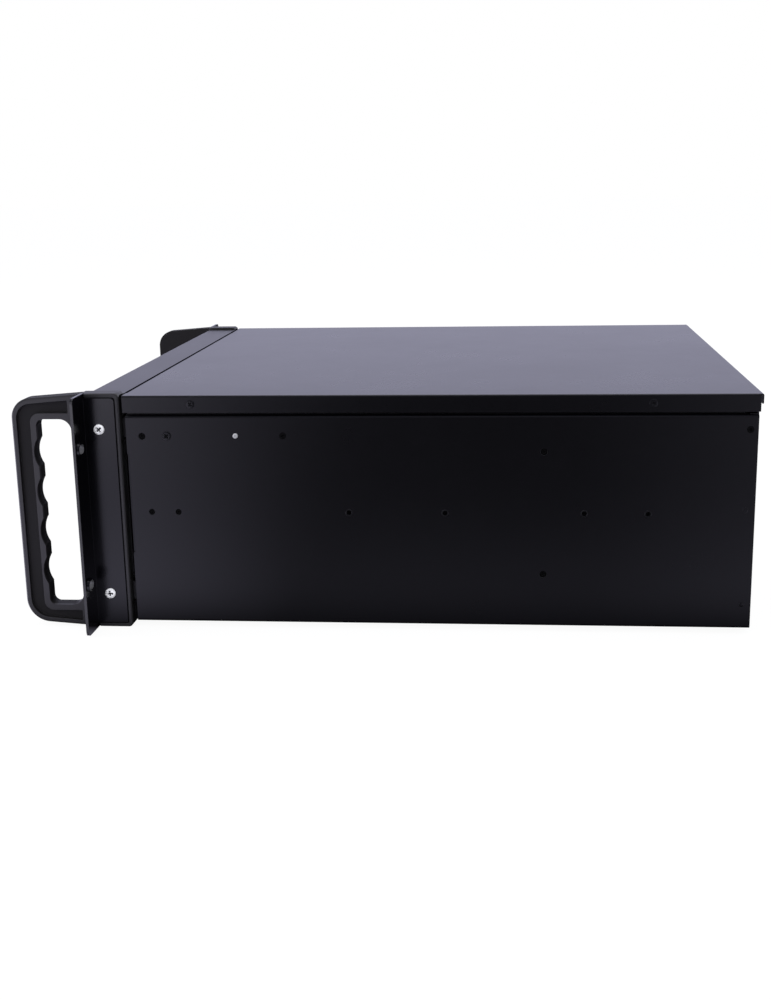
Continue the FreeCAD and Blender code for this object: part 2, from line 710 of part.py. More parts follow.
def end_cap():
    body = prism([(0, PANEL_BOTTOM), (CAP_DEPTH, PANEL_BOTTOM, CAP_CORNER),
                  (CAP_DEPTH, PANEL_TOP, CAP_CORNER), (0, PANEL_TOP)], "yz", CAP_INNER_X, CAP_OUTER_X)
    body = body.makeChamfer(CAP_CHAMFER, edges_on(body, "X", CAP_OUTER_X))
    seat_x = CAP_OUTER_X - EAR_SHEET
    leg_seat = prism(leg_outline(EAR_GAP), "yz", seat_x, CAP_OUTER_X + PAST)
    flange_seat = block((seat_x, CAP_OUTER_X + PAST), (-PAST, EAR_SHEET + EAR_GAP),
                        (PANEL_BOTTOM - PAST, PANEL_TOP + PAST))
    blocks = ear_screw_heights()
    levels = [PANEL_BOTTOM + CAP_WALL, blocks[0] - CAP_BLOCK_HALF, blocks[0] + CAP_BLOCK_HALF,
              blocks[1] - CAP_BLOCK_HALF, blocks[1] + CAP_BLOCK_HALF, PANEL_TOP - CAP_WALL]
    pockets = [block((POCKET_X0, POCKET_X1), (CAP_FRONT_WALL, CAP_DEPTH + PAST), (low, high))
               for low, high in zip(levels[::2], levels[1::2])]
    body = body.cut([leg_seat, flange_seat] + pockets)
    posts = [block((POCKET_X0, POCKET_X0 + CAP_POST_WIDTH), (CAP_DEPTH - CAP_WALL, TRAY_FRONT),
                   (z - CAP_POST_HALF, z + CAP_POST_HALF)) for z in blocks]
    return joined(body, *posts)


def handle():
    """Moulded pull handle: a frame with a sunk channel outside and scalloped finger grips inside."""
    front = -HANDLE_REACH
    front_low, front_high = HANDLE_LOW + HANDLE_FLARE, HANDLE_HIGH - HANDLE_FLARE
    bar = prism([(0, HANDLE_LOW), (front, front_low, HANDLE_CORNER_LOW),
                 (front, front_high, HANDLE_CORNER_TOP), (0, HANDLE_HIGH)], "yz", HANDLE_X0, CAP_OUTER_X)
    rim = [edge for edge in edges_on(bar, "X", CAP_OUTER_X) if edge.BoundBox.YMin < -HANDLE_EDGE]
    bar = bar.makeChamfer(HANDLE_EDGE, rim)
    grip = front + HANDLE_GRIP
    through = (HANDLE_X0 - PAST, CAP_OUTER_X + PAST)
    window = prism([(-HANDLE_ROOT, WINDOW_LOW, WINDOW_ROOT_CORNER), (grip, WINDOW_LOW, WINDOW_CORNER),
                    (grip, WINDOW_HIGH, WINDOW_CORNER), (-HANDLE_ROOT, WINDOW_HIGH, WINDOW_ROOT_CORNER)],
                   "yz", *through)
    curve = SCALLOP_CHORD ** 2 / (8 * SCALLOP_DEPTH) + SCALLOP_DEPTH / 2
    finger_side = block(through, (grip - SCALLOP_DEPTH - PAST, grip + PAST), (WINDOW_LOW, WINDOW_HIGH))
    scallops = [rod(curve, "yz", grip - SCALLOP_DEPTH + curve, MID_Z + rise, *through).common(finger_side)
                for rise in spread(SCALLOP_COUNT, SCALLOP_PITCH)]
    end, end_inset = -CHANNEL_END, RIM_OUTER + HANDLE_FLARE * CHANNEL_END / HANDLE_REACH
    near, far = front + RIM_OUTER, grip - RIM_INNER
    low, high = WINDOW_LOW - RIM_INNER, WINDOW_HIGH + RIM_INNER
    channel = prism([(end, HANDLE_HIGH - end_inset),
                     (near, front_high - RIM_OUTER, HANDLE_CORNER_TOP - RIM_OUTER),
                     (near, front_low + RIM_OUTER, HANDLE_CORNER_LOW - RIM_OUTER),
                     (end, HANDLE_LOW + end_inset), (end, low),
                     (far, low, CHANNEL_CORNER), (far, high, CHANNEL_CORNER), (end, high)],
                    "yz", CAP_OUTER_X - CHANNEL_DEPTH, CAP_OUTER_X + PAST)
    return bar.cut([window, channel] + scallops)


# Front: bezel, door, lock, filter and controls

def button_places():
    """Height, half width and half height of each button."""
    return {"power": (MID_Z + POWER_RISE, POWER_HALF_WIDTH, POWER_HALF_HEIGHT),
            "reset": (MID_Z + RESET_RISE, RESET_HALF_WIDTH, RESET_HALF_HEIGHT)}


def control_outline(z, half_width, half_height, shift=0, grow=0):
    x, wide, tall = CONTROL_X + shift, half_width + grow, half_height + grow
    return rectangle(x - wide, x + wide, z - tall, z + tall)


def usb_outline(z, grow):
    return control_outline(z, USB_WIDTH / 2, USB_HEIGHT / 2, 0, grow)


def light_outline(shift, grow):
    return control_outline(MID_Z + LIGHT_RISE, LIGHT_HALF_WIDTH, LIGHT_HALF_HEIGHT, shift, grow)


def door_opening(grow):
    return rectangle(DOOR_X0 - HINGE_GAP - grow, DOOR_X1 + DOOR_GAP + grow,
                     DOOR_LOW - DOOR_GAP - grow, DOOR_HIGH + DOOR_GAP + grow)


def filter_outline(grow):
    return rectangle(FILTER_X0 - grow, FILTER_X1 + grow,
                     MID_Z - FILTER_HEIGHT / 2 - grow, MID_Z + FILTER_HEIGHT / 2 + grow)


def front_bezel():
    front, rear = BEZEL_SET_BACK, BEZEL_DEPTH
    half = CAP_INNER_X - BEZEL_CAP_GAP
    profile = [(front, BEZEL_BOTTOM, BEZEL_BEND), (rear, BEZEL_BOTTOM), (rear, BEZEL_BOTTOM + SHEET),
               (BEZEL_BACK, BEZEL_BOTTOM + SHEET), (BEZEL_BACK, COVER_UNDER), (rear, COVER_UNDER),
               (rear, COVER_TOP), (front, COVER_TOP, BEZEL_BEND)]
    bezel = prism(profile, "yz", -half, half)
    collar = prism(door_opening(SHEET), "xz", front + SHEET / 2, STRIKE_BACK)
    through = (front - PAST, STRIKE_BACK + PAST)
    cuts = [prism(door_opening(0), "xz", *through), prism(filter_outline(0), "xz", *through)]
    for place in button_places().values():
        cuts.append(prism(control_outline(*place, 0, BUTTON_GAP), "xz", *through))
    for shift in spread(LIGHT_COUNT, LIGHT_PITCH):
        cuts.append(prism(light_outline(shift, HOLE_FIT), "xz", *through))
    for drop in USB_DROP:
        cuts.append(prism(usb_outline(MID_Z - drop, USB_FIT), "xz", *through))
    return joined(bezel, collar).cut(cuts)


def pin_spans():
    """Lower and upper hinge pin: studs that stand on the bezel's collar and reach into the door's edges."""
    return ((DOOR_LOW - DOOR_GAP, DOOR_LOW + PIN_REACH), (DOOR_HIGH - PIN_REACH, DOOR_HIGH + DOOR_GAP))


def door_hinge_pins():
    return group(rod(PIN_R, "xy", HINGE_X, HINGE_Y, low, high) for low, high in pin_spans())


def drive_door():
    outer = block((DOOR_X0, DOOR_X1), (0, DOOR_DEPTH), (DOOR_LOW, DOOR_HIGH))
    outer = outer.makeChamfer(DOOR_EDGE, edges_on(outer, "Y", 0))
    inner = prism(rectangle(DOOR_X0 + SHEET, DOOR_X1 - SHEET, DOOR_LOW + SHEET, DOOR_HIGH - SHEET), "xz",
                  SHEET, DOOR_DEPTH + PAST)
    cuts = [rod(PIN_R + HOLE_FIT, "xy", HINGE_X, HINGE_Y, low - PAST, high + PAST)
            for low, high in pin_spans()]
    cuts.append(prism(lock_outline(HOLE_FIT), "xz", -PAST, SHEET + PAST))
    return outer.cut([inner] + cuts)


def lock_outline(grow):
    half = LOCK_HALF + grow
    return rectangle(LOCK_X - half, LOCK_X + half, MID_Z - half, MID_Z + half)


def lock_housing():
    barrel = prism(lock_outline(0), "xz", -LOCK_PROUD, LOCK_LENGTH)
    barrel = barrel.makeChamfer(LOCK_EDGE, edges_on(barrel, "Y", -LOCK_PROUD))
    through = (-LOCK_PROUD - PAST, LOCK_LENGTH + PAST)
    return barrel.cut(rod(LOCK_PLUG_R + HOLE_FIT, "xz", LOCK_X, MID_Z, *through))


def lock_plug():
    plug = rod(LOCK_PLUG_R, "xz", LOCK_X, MID_Z, -LOCK_PROUD, LOCK_LENGTH + FIT)
    keyway = block((LOCK_X - KEYWAY_WIDTH / 2, LOCK_X + KEYWAY_WIDTH / 2),
                   (-LOCK_PROUD - PAST, KEYWAY_DEPTH - LOCK_PROUD),
                   (MID_Z - KEYWAY_HEIGHT / 2, MID_Z + KEYWAY_HEIGHT / 2))
    return plug.cut(keyway)


def lock_cam():
    """The tongue points up when unlocked and turns to the right behind the bezel's collar."""
    tip = MID_Z + CAP_INNER_X - CAM_TIP_GAP - LOCK_X
    back = LOCK_LENGTH + FIT
    return block((LOCK_X - CAM_HALF_WIDTH, LOCK_X + CAM_HALF_WIDTH), (back, back + CAM_THICK),
                 (MID_Z - CAM_HALF_WIDTH, tip))


def filter_cover():
    """A louvred face over the bezel with a collar that plugs into its window."""
    back = BEZEL_SET_BACK
    face = prism(filter_outline(FILTER_RIM), "xz", back - FILTER_FACE, back)
    face = face.makeChamfer(FILTER_FACE / 2, edges_on(face, "Y", back - FILTER_FACE))
    collar = prism(filter_outline(-FIT), "xz", back, back + FILTER_INSERT)
    hollow = prism(filter_outline(-FIT - FILTER_WALL), "xz", back, back + FILTER_INSERT + PAST)
    rows = int((FILTER_HEIGHT - 2 * LOUVRE_INSET - LOUVRE_HEIGHT) / LOUVRE_PITCH) + 1
    x0, x1 = FILTER_X0 + LOUVRE_INSET, FILTER_X1 - LOUVRE_INSET
    louvres = [block((x0, x1), (back - FILTER_FACE - PAST, back + PAST),
                     (MID_Z + rise - LOUVRE_HEIGHT / 2, MID_Z + rise + LOUVRE_HEIGHT / 2))
               for rise in spread(rows, LOUVRE_PITCH)]
    return joined(face, collar.cut(hollow)).cut(louvres)


def filter_screen():
    back = BEZEL_SET_BACK
    inset = 2 * FIT + FILTER_WALL
    return prism(filter_outline(-inset), "xz", back, back + SCREEN_THICK)


def push_button(name, proud, travel):
    """Button with a stop flange behind the bezel and a stem towards its switch."""
    place = button_places()[name]
    stop = BEZEL_BACK + BUTTON_GAP
    head = prism(control_outline(*place), "xz", -proud, stop + BUTTON_FLANGE_THICK)
    head = head.makeChamfer(BUTTON_CROWN, edges_on(head, "Y", -proud))
    flange = prism(control_outline(*place, 0, BUTTON_FLANGE), "xz", stop, stop + BUTTON_FLANGE_THICK)
    stem_end = switch_face(travel) - BUTTON_GAP - travel
    stem = prism(control_outline(place[0], STEM_HALF, STEM_HALF), "xz", stop, stem_end)
    return joined(head, flange, stem)


def switch_face(travel):
    return CONTROL_BOARD_Y - travel - BUTTON_FLANGE_THICK


def control_board_span():
    return (MID_Z - max(USB_DROP) - CONTROL_BOARD_EDGE, MID_Z + POWER_RISE + CONTROL_BOARD_EDGE)


def control_board():
    low, high = control_board_span()
    board = block((CONTROL_X - CONTROL_BOARD_HALF, CONTROL_X + CONTROL_BOARD_HALF),
                  (CONTROL_BOARD_Y, CONTROL_BOARD_Y + PCB), (low, high))
    switches = []
    for name, travel in (("power", POWER_TRAVEL), ("reset", RESET_TRAVEL)):
        z = button_places()[name][0]
        switches.append(block((CONTROL_X - SWITCH_HALF, CONTROL_X + SWITCH_HALF),
                              (switch_face(travel), CONTROL_BOARD_Y), (z - SWITCH_HALF, z + SWITCH_HALF)))
    return joined(board, *switches)


def status_lights():
    return group(prism(light_outline(shift, 0), "xz", LIGHT_SET_BACK, CONTROL_BOARD_Y)
                 for shift in spread(LIGHT_COUNT, LIGHT_PITCH))


def usb_ports():
    ports = []
    for drop in USB_DROP:
        z = MID_Z - drop
        shell = prism(usb_outline(z, 0), "xz", BEZEL_SET_BACK, CONTROL_BOARD_Y)
        end = BEZEL_SET_BACK + USB_SOCKET_DEPTH
        socket = prism(usb_outline(z, -USB_WALL), "xz", BEZEL_SET_BACK - PAST, end)
        tongue_x = USB_WIDTH / 2 - 2 * USB_WALL
        tongue = block((CONTROL_X - tongue_x, CONTROL_X + tongue_x), (BEZEL_SET_BACK + PAST, end),
                       (z, z + USB_TONGUE))
        ports.append(joined(shell.cut(socket), tongue))
    return group(ports)


# Drives

def drive_cage():
    rear = FAN_Y + CAGE_DEPTH
    low, high = MID_Z - CAGE_HALF, MID_Z + CAGE_HALF
    tube = block((CAGE_X0, CAGE_X1), (FAN_Y, rear), (low, high))
    reach = WALL_X - FIT
    wing = [(CAGE_X1 - PAST, high), (reach, high), (reach, high - CAGE_FLANGE_DROP),
            (reach - CAGE_SHEET, high - CAGE_FLANGE_DROP), (reach - CAGE_SHEET, high - CAGE_SHEET),
            (CAGE_X1 - PAST, high - CAGE_SHEET)]
    tube = joined(tube, prism(wing, "xz", FAN_Y, rear))
    hollow = block((CAGE_X0 + CAGE_SHEET, CAGE_X1 - CAGE_SHEET), (FAN_Y - PAST, rear + PAST),
                   (low + CAGE_SHEET, high - CAGE_SHEET))
    slots = [block((CAGE_X0 - PAST, CAGE_X1 + PAST),
                   (FAN_Y + CAGE_SLOT_START, FAN_Y + CAGE_SLOT_START + CAGE_SLOT_LENGTH),
                   (MID_Z + rise - CAGE_SLOT_HEIGHT / 2, MID_Z + rise + CAGE_SLOT_HEIGHT / 2))
             for rise in spread(BAY_COUNT, BAY_HEIGHT)]
    return tube.cut([hollow] + slots)


def bay_covers():
    x0, x1 = CAGE_X0 + CAGE_SHEET + BAY_GAP, CAGE_X1 - CAGE_SHEET - BAY_GAP
    half, wall = BAY_HEIGHT / 2 - BAY_GAP, BAY_COVER_WALL
    front, rear = BAY_COVER_FRONT, BAY_COVER_FRONT + BAY_COVER_DEPTH
    covers = []
    for rise in spread(BAY_COUNT, BAY_HEIGHT):
        z = MID_Z + rise
        cup = block((x0, x1), (front, rear), (z - half, z + half))
        cup = cup.makeChamfer(BAY_COVER_EDGE, edges_on(cup, "Y", front))
        hollow = block((x0 + wall, x1 - wall), (front + wall, rear + PAST), (z - half + wall, z + half - wall))
        covers.append(cup.cut(hollow))
    return group(covers)


def hdd_heights():
    low = FLOOR_Z + HDD_FLOOR_GAP
    return [low + index * HDD_PITCH for index in range(HDD_COUNT)]


def hdd_cage():
    half = HDD_WIDTH / 2 + FIT + CAGE_SHEET
    y0, y1 = HDD_Y0 + HDD_CAGE_INSET, HDD_Y1 - HDD_CAGE_INSET
    top = hdd_heights()[-1] + HDD_HEIGHT + HDD_CAGE_HEAD
    tube = block((FRONT_FAN_X - half, FRONT_FAN_X + half), (y0, y1), (FLOOR_Z, top))
    inner = half - CAGE_SHEET
    hollow = block((FRONT_FAN_X - inner, FRONT_FAN_X + inner), (y0 - PAST, y1 + PAST),
                   (FLOOR_Z + CAGE_SHEET, top - CAGE_SHEET))
    windows = [block((FRONT_FAN_X - half - PAST, FRONT_FAN_X + half + PAST),
                     (y0 + HDD_WINDOW_MARGIN, y1 - HDD_WINDOW_MARGIN),
                     (z + HDD_HEIGHT / 2 - HDD_WINDOW_HEIGHT / 2, z + HDD_HEIGHT / 2 + HDD_WINDOW_HEIGHT / 2))
               for z in hdd_heights()]
    return tube.cut([hollow] + windows)


def hard_drives():
    half = HDD_WIDTH / 2
    base = block((FRONT_FAN_X - half, FRONT_FAN_X + half), (HDD_Y0, HDD_Y1), (0, HDD_HEIGHT - HDD_LID_HEIGHT))
    lid = block((FRONT_FAN_X - half + HDD_LID_INSET, FRONT_FAN_X + half - HDD_LID_INSET),
                (HDD_Y0 + HDD_LID_INSET, HDD_Y1 - HDD_LID_INSET), (HDD_HEIGHT - HDD_LID_HEIGHT, HDD_HEIGHT))
    drive = joined(base, lid)
    return group(moved(drive, 0, 0, z) for z in hdd_heights())


def support_bar():
    """Channel across the case, open downwards, under the tray's top ledges."""
    rear = BOARD_Y0 - BAR_GAP
    front = rear - BAR_WIDTH
    top, low = LEDGE_Z - FIT, LEDGE_Z - FIT - BAR_HEIGHT
    profile = [(front, low), (front + SHEET, low), (front + SHEET, top - SHEET), (rear - SHEET, top - SHEET),
               (rear - SHEET, low), (rear, low), (rear, top), (front, top)]
    return prism(profile, "yz", FIT - UPPER_X, UPPER_X - FIT)


# Main board

def cpu_place():
    return BOARD_X1 - CPU_INSET_X, REAR_INNER - CPU_REAR


def motherboard():
    board = block((BOARD_X0, BOARD_X1), (BOARD_Y0, BOARD_Y1), (BOARD_Z, BOARD_TOP))
    x, y = cpu_place()
    half = SOCKET_SIDE / 2
    socket = block((x - half, x + half), (y - half, y + half), (BOARD_TOP, BOARD_TOP + SOCKET_HEIGHT))
    return joined(board, socket)


def hexagon():
    return [(STANDOFF_R * math.cos(math.radians(60 * k)), STANDOFF_R * math.sin(math.radians(60 * k)))
            for k in range(6)]


def standoffs():
    post = prism(hexagon(), "xy", FLOOR_Z, BOARD_Z)
    steps = [index / (STANDOFF_GRID - 1) for index in range(STANDOFF_GRID)]
    x_run = BOARD_WIDTH - 2 * STANDOFF_INSET
    y_run = BOARD_DEPTH - 2 * STANDOFF_INSET
    posts = [moved(post, BOARD_X0 + STANDOFF_INSET + x_run * u, BOARD_Y0 + STANDOFF_INSET + y_run * v, 0)
             for u in steps for v in steps]
    low, high = control_board_span()
    spacer = prism(hexagon(), "xz", CONTROL_BOARD_Y + PCB, TRAY_FRONT)
    reach = CONTROL_BOARD_HALF - CONTROL_SPACER_INSET
    posts += [moved(spacer, CONTROL_X + side * reach, 0, z) for side in (-1, 1)
              for z in (low + CONTROL_SPACER_INSET, high - CONTROL_SPACER_INSET)]
    return group(posts)


def finned(x, y, z, side, height, base):
    """Square heat sink with fins along y."""
    half = side / 2
    sink = block((x - half, x + half), (y - half, y + half), (z, z + height))
    gap = SINK_FIN_PITCH - SINK_FIN
    count = int((side - 2 * SINK_FIN - gap) / SINK_FIN_PITCH) + 1
    cuts = [block((x + shift - gap / 2, x + shift + gap / 2), (y - half - PAST, y + half + PAST),
                  (z + base, z + height + PAST)) for shift in spread(count, SINK_FIN_PITCH)]
    return sink.cut(cuts)


def cpu_heatsink():
    x, y = cpu_place()
    return finned(x, y, BOARD_TOP + SOCKET_HEIGHT, SINK_SIDE, SINK_HEIGHT, SINK_BASE)


def chipset_heatsink():
    return finned(BOARD_X0 + CHIP_INSET_X, BOARD_Y0 + CHIP_FRONT + CHIP_SIDE / 2, BOARD_TOP,
                  CHIP_SIDE, CHIP_HEIGHT, CHIP_BASE)


def memory_x():
    return BOARD_X1 - MEMORY_INSET - MEMORY_SOCKET_LENGTH / 2


def memory_rows():
    return [BOARD_Y0 + MEMORY_FRONT + index * MEMORY_PITCH for index in range(MEMORY_SOCKETS)]


def memory_sockets():
    x, sockets = memory_x(), []
    half, wide = MEMORY_SOCKET_LENGTH / 2, MEMORY_SOCKET_WIDTH / 2
    for y in memory_rows():
        profile = [(x - half, BOARD_TOP), (x + half, BOARD_TOP), (x + half, BOARD_TOP + MEMORY_LATCH_HEIGHT),
                   (x + half - MEMORY_LATCH_LENGTH, BOARD_TOP + MEMORY_LATCH_HEIGHT),
                   (x + half - MEMORY_LATCH_LENGTH, BOARD_TOP + MEMORY_SOCKET_HEIGHT),
                   (x - half + MEMORY_LATCH_LENGTH, BOARD_TOP + MEMORY_SOCKET_HEIGHT),
                   (x - half + MEMORY_LATCH_LENGTH, BOARD_TOP + MEMORY_LATCH_HEIGHT),
                   (x - half, BOARD_TOP + MEMORY_LATCH_HEIGHT)]
        slit = MODULE_THICK / 2 + MODULE_FIT
        length = MODULE_LENGTH / 2 + MODULE_FIT
        cut = block((x - length, x + length), (y - slit, y + slit),
                    (BOARD_TOP + MEMORY_SOCKET_HEIGHT - MODULE_SEAT, BOARD_TOP + MEMORY_LATCH_HEIGHT + PAST))
        sockets.append(prism(profile, "xz", y - wide, y + wide).cut(cut))
    return group(sockets)


def memory_modules():
    x, low = memory_x(), BOARD_TOP + MEMORY_SOCKET_HEIGHT - MODULE_SEAT
    half, thin = MODULE_LENGTH / 2, MODULE_THICK / 2
    return group(block((x - half, x + half), (y - thin, y + thin), (low, low + MODULE_HEIGHT))
                 for y in memory_rows()[1::2])


def expansion_sockets():
    sockets = []
    for index in range(CARD_COUNT):
        length = CARD_SOCKET_SHORT if index % 2 else CARD_SOCKET_LONG
        x, rear, half = card_x(index), REAR_INNER - CARD_SOCKET_REAR, CARD_SOCKET_WIDTH / 2
        front, top = rear - length, BOARD_TOP + CARD_SOCKET_HEIGHT
        body = block((x - half, x + half), (front, rear), (BOARD_TOP, top))
        slit = block((x - CARD_SLIT / 2, x + CARD_SLIT / 2), (front + CARD_SLIT_END, rear - CARD_SLIT_END),
                     (top - CARD_SLIT_DEPTH, top + PAST))
        sockets.append(body.cut(slit))
    return group(sockets)


def board_power_socket():
    x1, y0, wall = BOARD_X1 - PLUG_INSET_X, BOARD_Y0 + PLUG_FRONT, PLUG_WALL
    body = block((x1 - PLUG_LENGTH, x1), (y0, y0 + PLUG_WIDTH), (BOARD_TOP, BOARD_TOP + PLUG_HEIGHT))
    hollow = block((x1 - PLUG_LENGTH + wall, x1 - wall), (y0 + wall, y0 + PLUG_WIDTH - wall),
                   (BOARD_TOP + wall, BOARD_TOP + PLUG_HEIGHT + PAST))
    return body.cut(hollow)


def port_outline(port, grow):
    offset, width, height = port
    x1 = IO_X1 - offset
    return rectangle(x1 - width - grow, x1 + grow, BOARD_TOP - min(grow, 0), BOARD_TOP + height + grow)


def io_ports():
    face = REAR_OUTER + PORT_PROUD
    ports = []
    for port in PORTS:
        body = prism(port_outline(port, 0), "xz", REAR_INNER - PORT_DEPTH, face)
        socket = prism(port_outline(port, -PORT_WALL), "xz", face - PORT_SOCKET_DEPTH, face + PAST)
        ports.append(body.cut(socket))
    return group(ports)


def io_shield():
    plate = block((IO_X0 - SHIELD_RIM, IO_X1 + SHIELD_RIM), (REAR_INNER - SHIELD_THICK, REAR_INNER),
                  (IO_Z0 - SHIELD_RIM, IO_Z0 + IO_HEIGHT + SHIELD_RIM))
    under = block((BOARD_X0, BOARD_X1 + PAST), (REAR_INNER - SHIELD_THICK - PAST, BOARD_Y1 + FIT),
                  (BOARD_Z - FIT, BOARD_TOP + FIT))
    cuts = [prism(port_outline(port, FIT), "xz", REAR_INNER - SHIELD_THICK - PAST, REAR_INNER + PAST)
            for port in PORTS]
    return plate.cut(cuts + [under])


# Card slot covers

def slot_covers():
    top = CARD_LEDGE_Z
    low = CARD_OPEN_Z0
    covers = []
    for index in range(CARD_COUNT):
        x, half = card_x(index), CARD_COVER_WIDTH / 2
        profile = [(REAR_INNER - CARD_COVER_THICK, low), (REAR_INNER, low), (REAR_INNER, top),
                   (REAR_INNER - CARD_TAB, top), (REAR_INNER - CARD_TAB, top - CARD_COVER_THICK),
                   (REAR_INNER - CARD_COVER_THICK, top - CARD_COVER_THICK)]
        covers.append(prism(profile, "yz", x - half, x + half))
    return group(covers)


# Fans, modelled along z from the strut side

def hub_outline(hub):
    """A hub with as many sides as blades, so that each blade stands on a flat."""
    step = 2 * math.pi / BLADE_COUNT
    return [(hub * math.cos(step * (index + 0.5)), hub * math.sin(step * (index + 0.5)))
            for index in range(BLADE_COUNT)]


def fan_frame(size, hub):
    half, bore = size / 2, size / 2 - FAN_WALL
    side = half - FAN_CORNER
    square = [(half, -side), (half, side), (side, half), (-side, half), (-half, side), (-half, -side),
              (-side, -half), (side, -half)]
    frame = prism(square, "xy", 0, FAN_DEPTH).cut(rod(bore, "xy", 0, 0, -PAST, FAN_DEPTH + PAST))
    motor = prism(hub_outline(hub), "xy", 0, FAN_BACK)
    strut = block((-FAN_STRUT / 2, FAN_STRUT / 2), (-bore - FAN_WALL / 2, bore + FAN_WALL / 2), (0, FAN_BACK))
    struts = [turned(strut, Vector(0, 0, 1), angle) for angle in (45, 135)]
    return joined(frame, motor, *struts)


def fan_rotor(size, hub):
    """Hub and flat pitched blades that widen to the tip."""
    low, high = FAN_BACK + ROTOR_GAP, FAN_DEPTH - ROTOR_FRONT
    tip = size / 2 - FAN_WALL - BLADE_TIP_GAP
    cup = prism(hub_outline(hub), "xy", low, high)
    scale = size / LARGE_FAN
    root, edge = BLADE_ROOT_CHORD * scale / 2, BLADE_TIP_CHORD * scale / 2
    foot = hub * math.cos(math.pi / BLADE_COUNT) - BLADE_SINK
    sail = [(foot, -root), (tip, -edge), (tip, edge), (foot, root)]
    blade = prism(sail, "xy", -BLADE_THICK / 2, BLADE_THICK / 2)
    blade = moved(turned(blade, Vector(1, 0, 0), BLADE_PITCH), 0, 0, (low + high) / 2)
    blades = [turned(blade, Vector(0, 0, 1), 360 / BLADE_COUNT * index) for index in range(BLADE_COUNT)]
    return joined(cup, *blades)


def facing_rear(shape, x, y, z):
    return moved(turned(shape, Vector(1, 0, 0), -90), x, y, z)


def front_fan(part):
    return facing_rear(part(LARGE_FAN, LARGE_HUB), FRONT_FAN_X, FAN_Y, MID_Z)


def rear_fan(part, side):
    y = REAR_INNER - FIT - FAN_DEPTH
    return facing_rear(part(SMALL_FAN, SMALL_HUB), rear_fan_x(side), y, REAR_FAN_Z)


def psu_fan(part):
    y = REAR_INNER - PSU_SHEET - FIT - FAN_DEPTH
    return facing_rear(part(PSU_FAN, SMALL_HUB), PSU_MID_X, y, PSU_FAN_Z)


# Power supply

def inlet_span():
    return (PSU_MID_X - MODULE_X_WIDTH / 2, PSU_MID_X + MODULE_X_WIDTH / 2)


def psu_case():
    case = block((PSU_X0, PSU_X1), (PSU_Y0, REAR_INNER), (FLOOR_Z, PSU_TOP))
    wall = PSU_SHEET
    hollow = block((PSU_X0 + wall, PSU_X1 - wall), (PSU_Y0 + wall, REAR_INNER - wall),
                   (FLOOR_Z + wall, PSU_TOP - wall))
    through = (REAR_INNER - wall - PAST, REAR_INNER + PAST)
    cuts = [hollow] + vent("xz", PSU_MID_X, PSU_FAN_Z, PSU_FAN / 2 - VENT_MARGIN, *through)
    x0, x1 = inlet_span()
    cuts.append(block((x0 - FIT, x1 + FIT), through, (INLET_Z0 - FIT, INLET_TOP + FIT)))
    along = (PSU_Y0 + PSU_VENT_END, REAR_INNER - PSU_VENT_END)
    for rise in spread(PSU_VENT_ROWS, VENT_PITCH):
        z = FLOOR_Z + PSU_HEIGHT / 2 + rise
        cuts.append(block((PSU_X0 - PAST, PSU_X0 + wall + PAST), along, (z - VENT_SLOT / 2, z + VENT_SLOT / 2)))
    return case.cut(cuts)


def rocker_pivot():
    return Vector(PSU_MID_X, INLET_FACE - ROCKER_PIVOT_BACK, INLET_Z0 + ROCKER_RISE)


def psu_inlet():
    """Moulded module: a mains inlet below and the housing of the rocker switch above."""
    x0, x1 = inlet_span()
    body = block((x0, x1), (REAR_INNER - INLET_MODULE_DEPTH, INLET_FACE), (INLET_Z0, INLET_TOP))
    flange = block((x0 - INLET_FLANGE, x1 + INLET_FLANGE), (REAR_INNER, INLET_FACE),
                   (INLET_Z0 - INLET_FLANGE, INLET_TOP + INLET_FLANGE))
    z, half, tall = INLET_Z0 + INLET_RISE, INLET_WIDTH / 2, INLET_HEIGHT / 2
    left, right, corner = PSU_MID_X - half, PSU_MID_X + half, INLET_CHAMFER
    mouth = [(left, z - tall), (right, z - tall), (right, z + tall - corner), (right - corner, z + tall),
             (left + corner, z + tall), (left, z + tall - corner)]
    recess = prism(mouth, "xz", INLET_FACE - INLET_RECESS, INLET_FACE + PAST)
    pivot = rocker_pivot()
    wide = ROCKER_WIDTH / 2 + ROCKER_SIDE_GAP
    pocket = block((pivot.x - wide, pivot.x + wide), (INLET_FACE - ROCKER_POCKET_DEPTH, INLET_FACE + PAST),
                   (pivot.z - ROCKER_HALF - ROCKER_POCKET_GAP, pivot.z + ROCKER_HALF + ROCKER_POCKET_GAP))
    reach = wide + TRUNNION_REACH
    bearing = rod(TRUNNION_R + HOLE_FIT, "yz", pivot.y, pivot.z, pivot.x - reach, pivot.x + reach)
    body = joined(body, flange).cut([recess, pocket, bearing])
    pins = []
    for place in (-1, 0, 1):
        x = PSU_MID_X + place * INLET_PIN_PITCH
        middle = z - INLET_PIN_OFFSET if place else z + INLET_PIN_OFFSET
        pins.append(block((x - INLET_PIN_WIDTH / 2, x + INLET_PIN_WIDTH / 2),
                          (INLET_FACE - INLET_RECESS - PAST, INLET_FACE - INLET_PIN_BACK),
                          (middle - INLET_PIN_HEIGHT / 2, middle + INLET_PIN_HEIGHT / 2)))
    return joined(body, *pins)


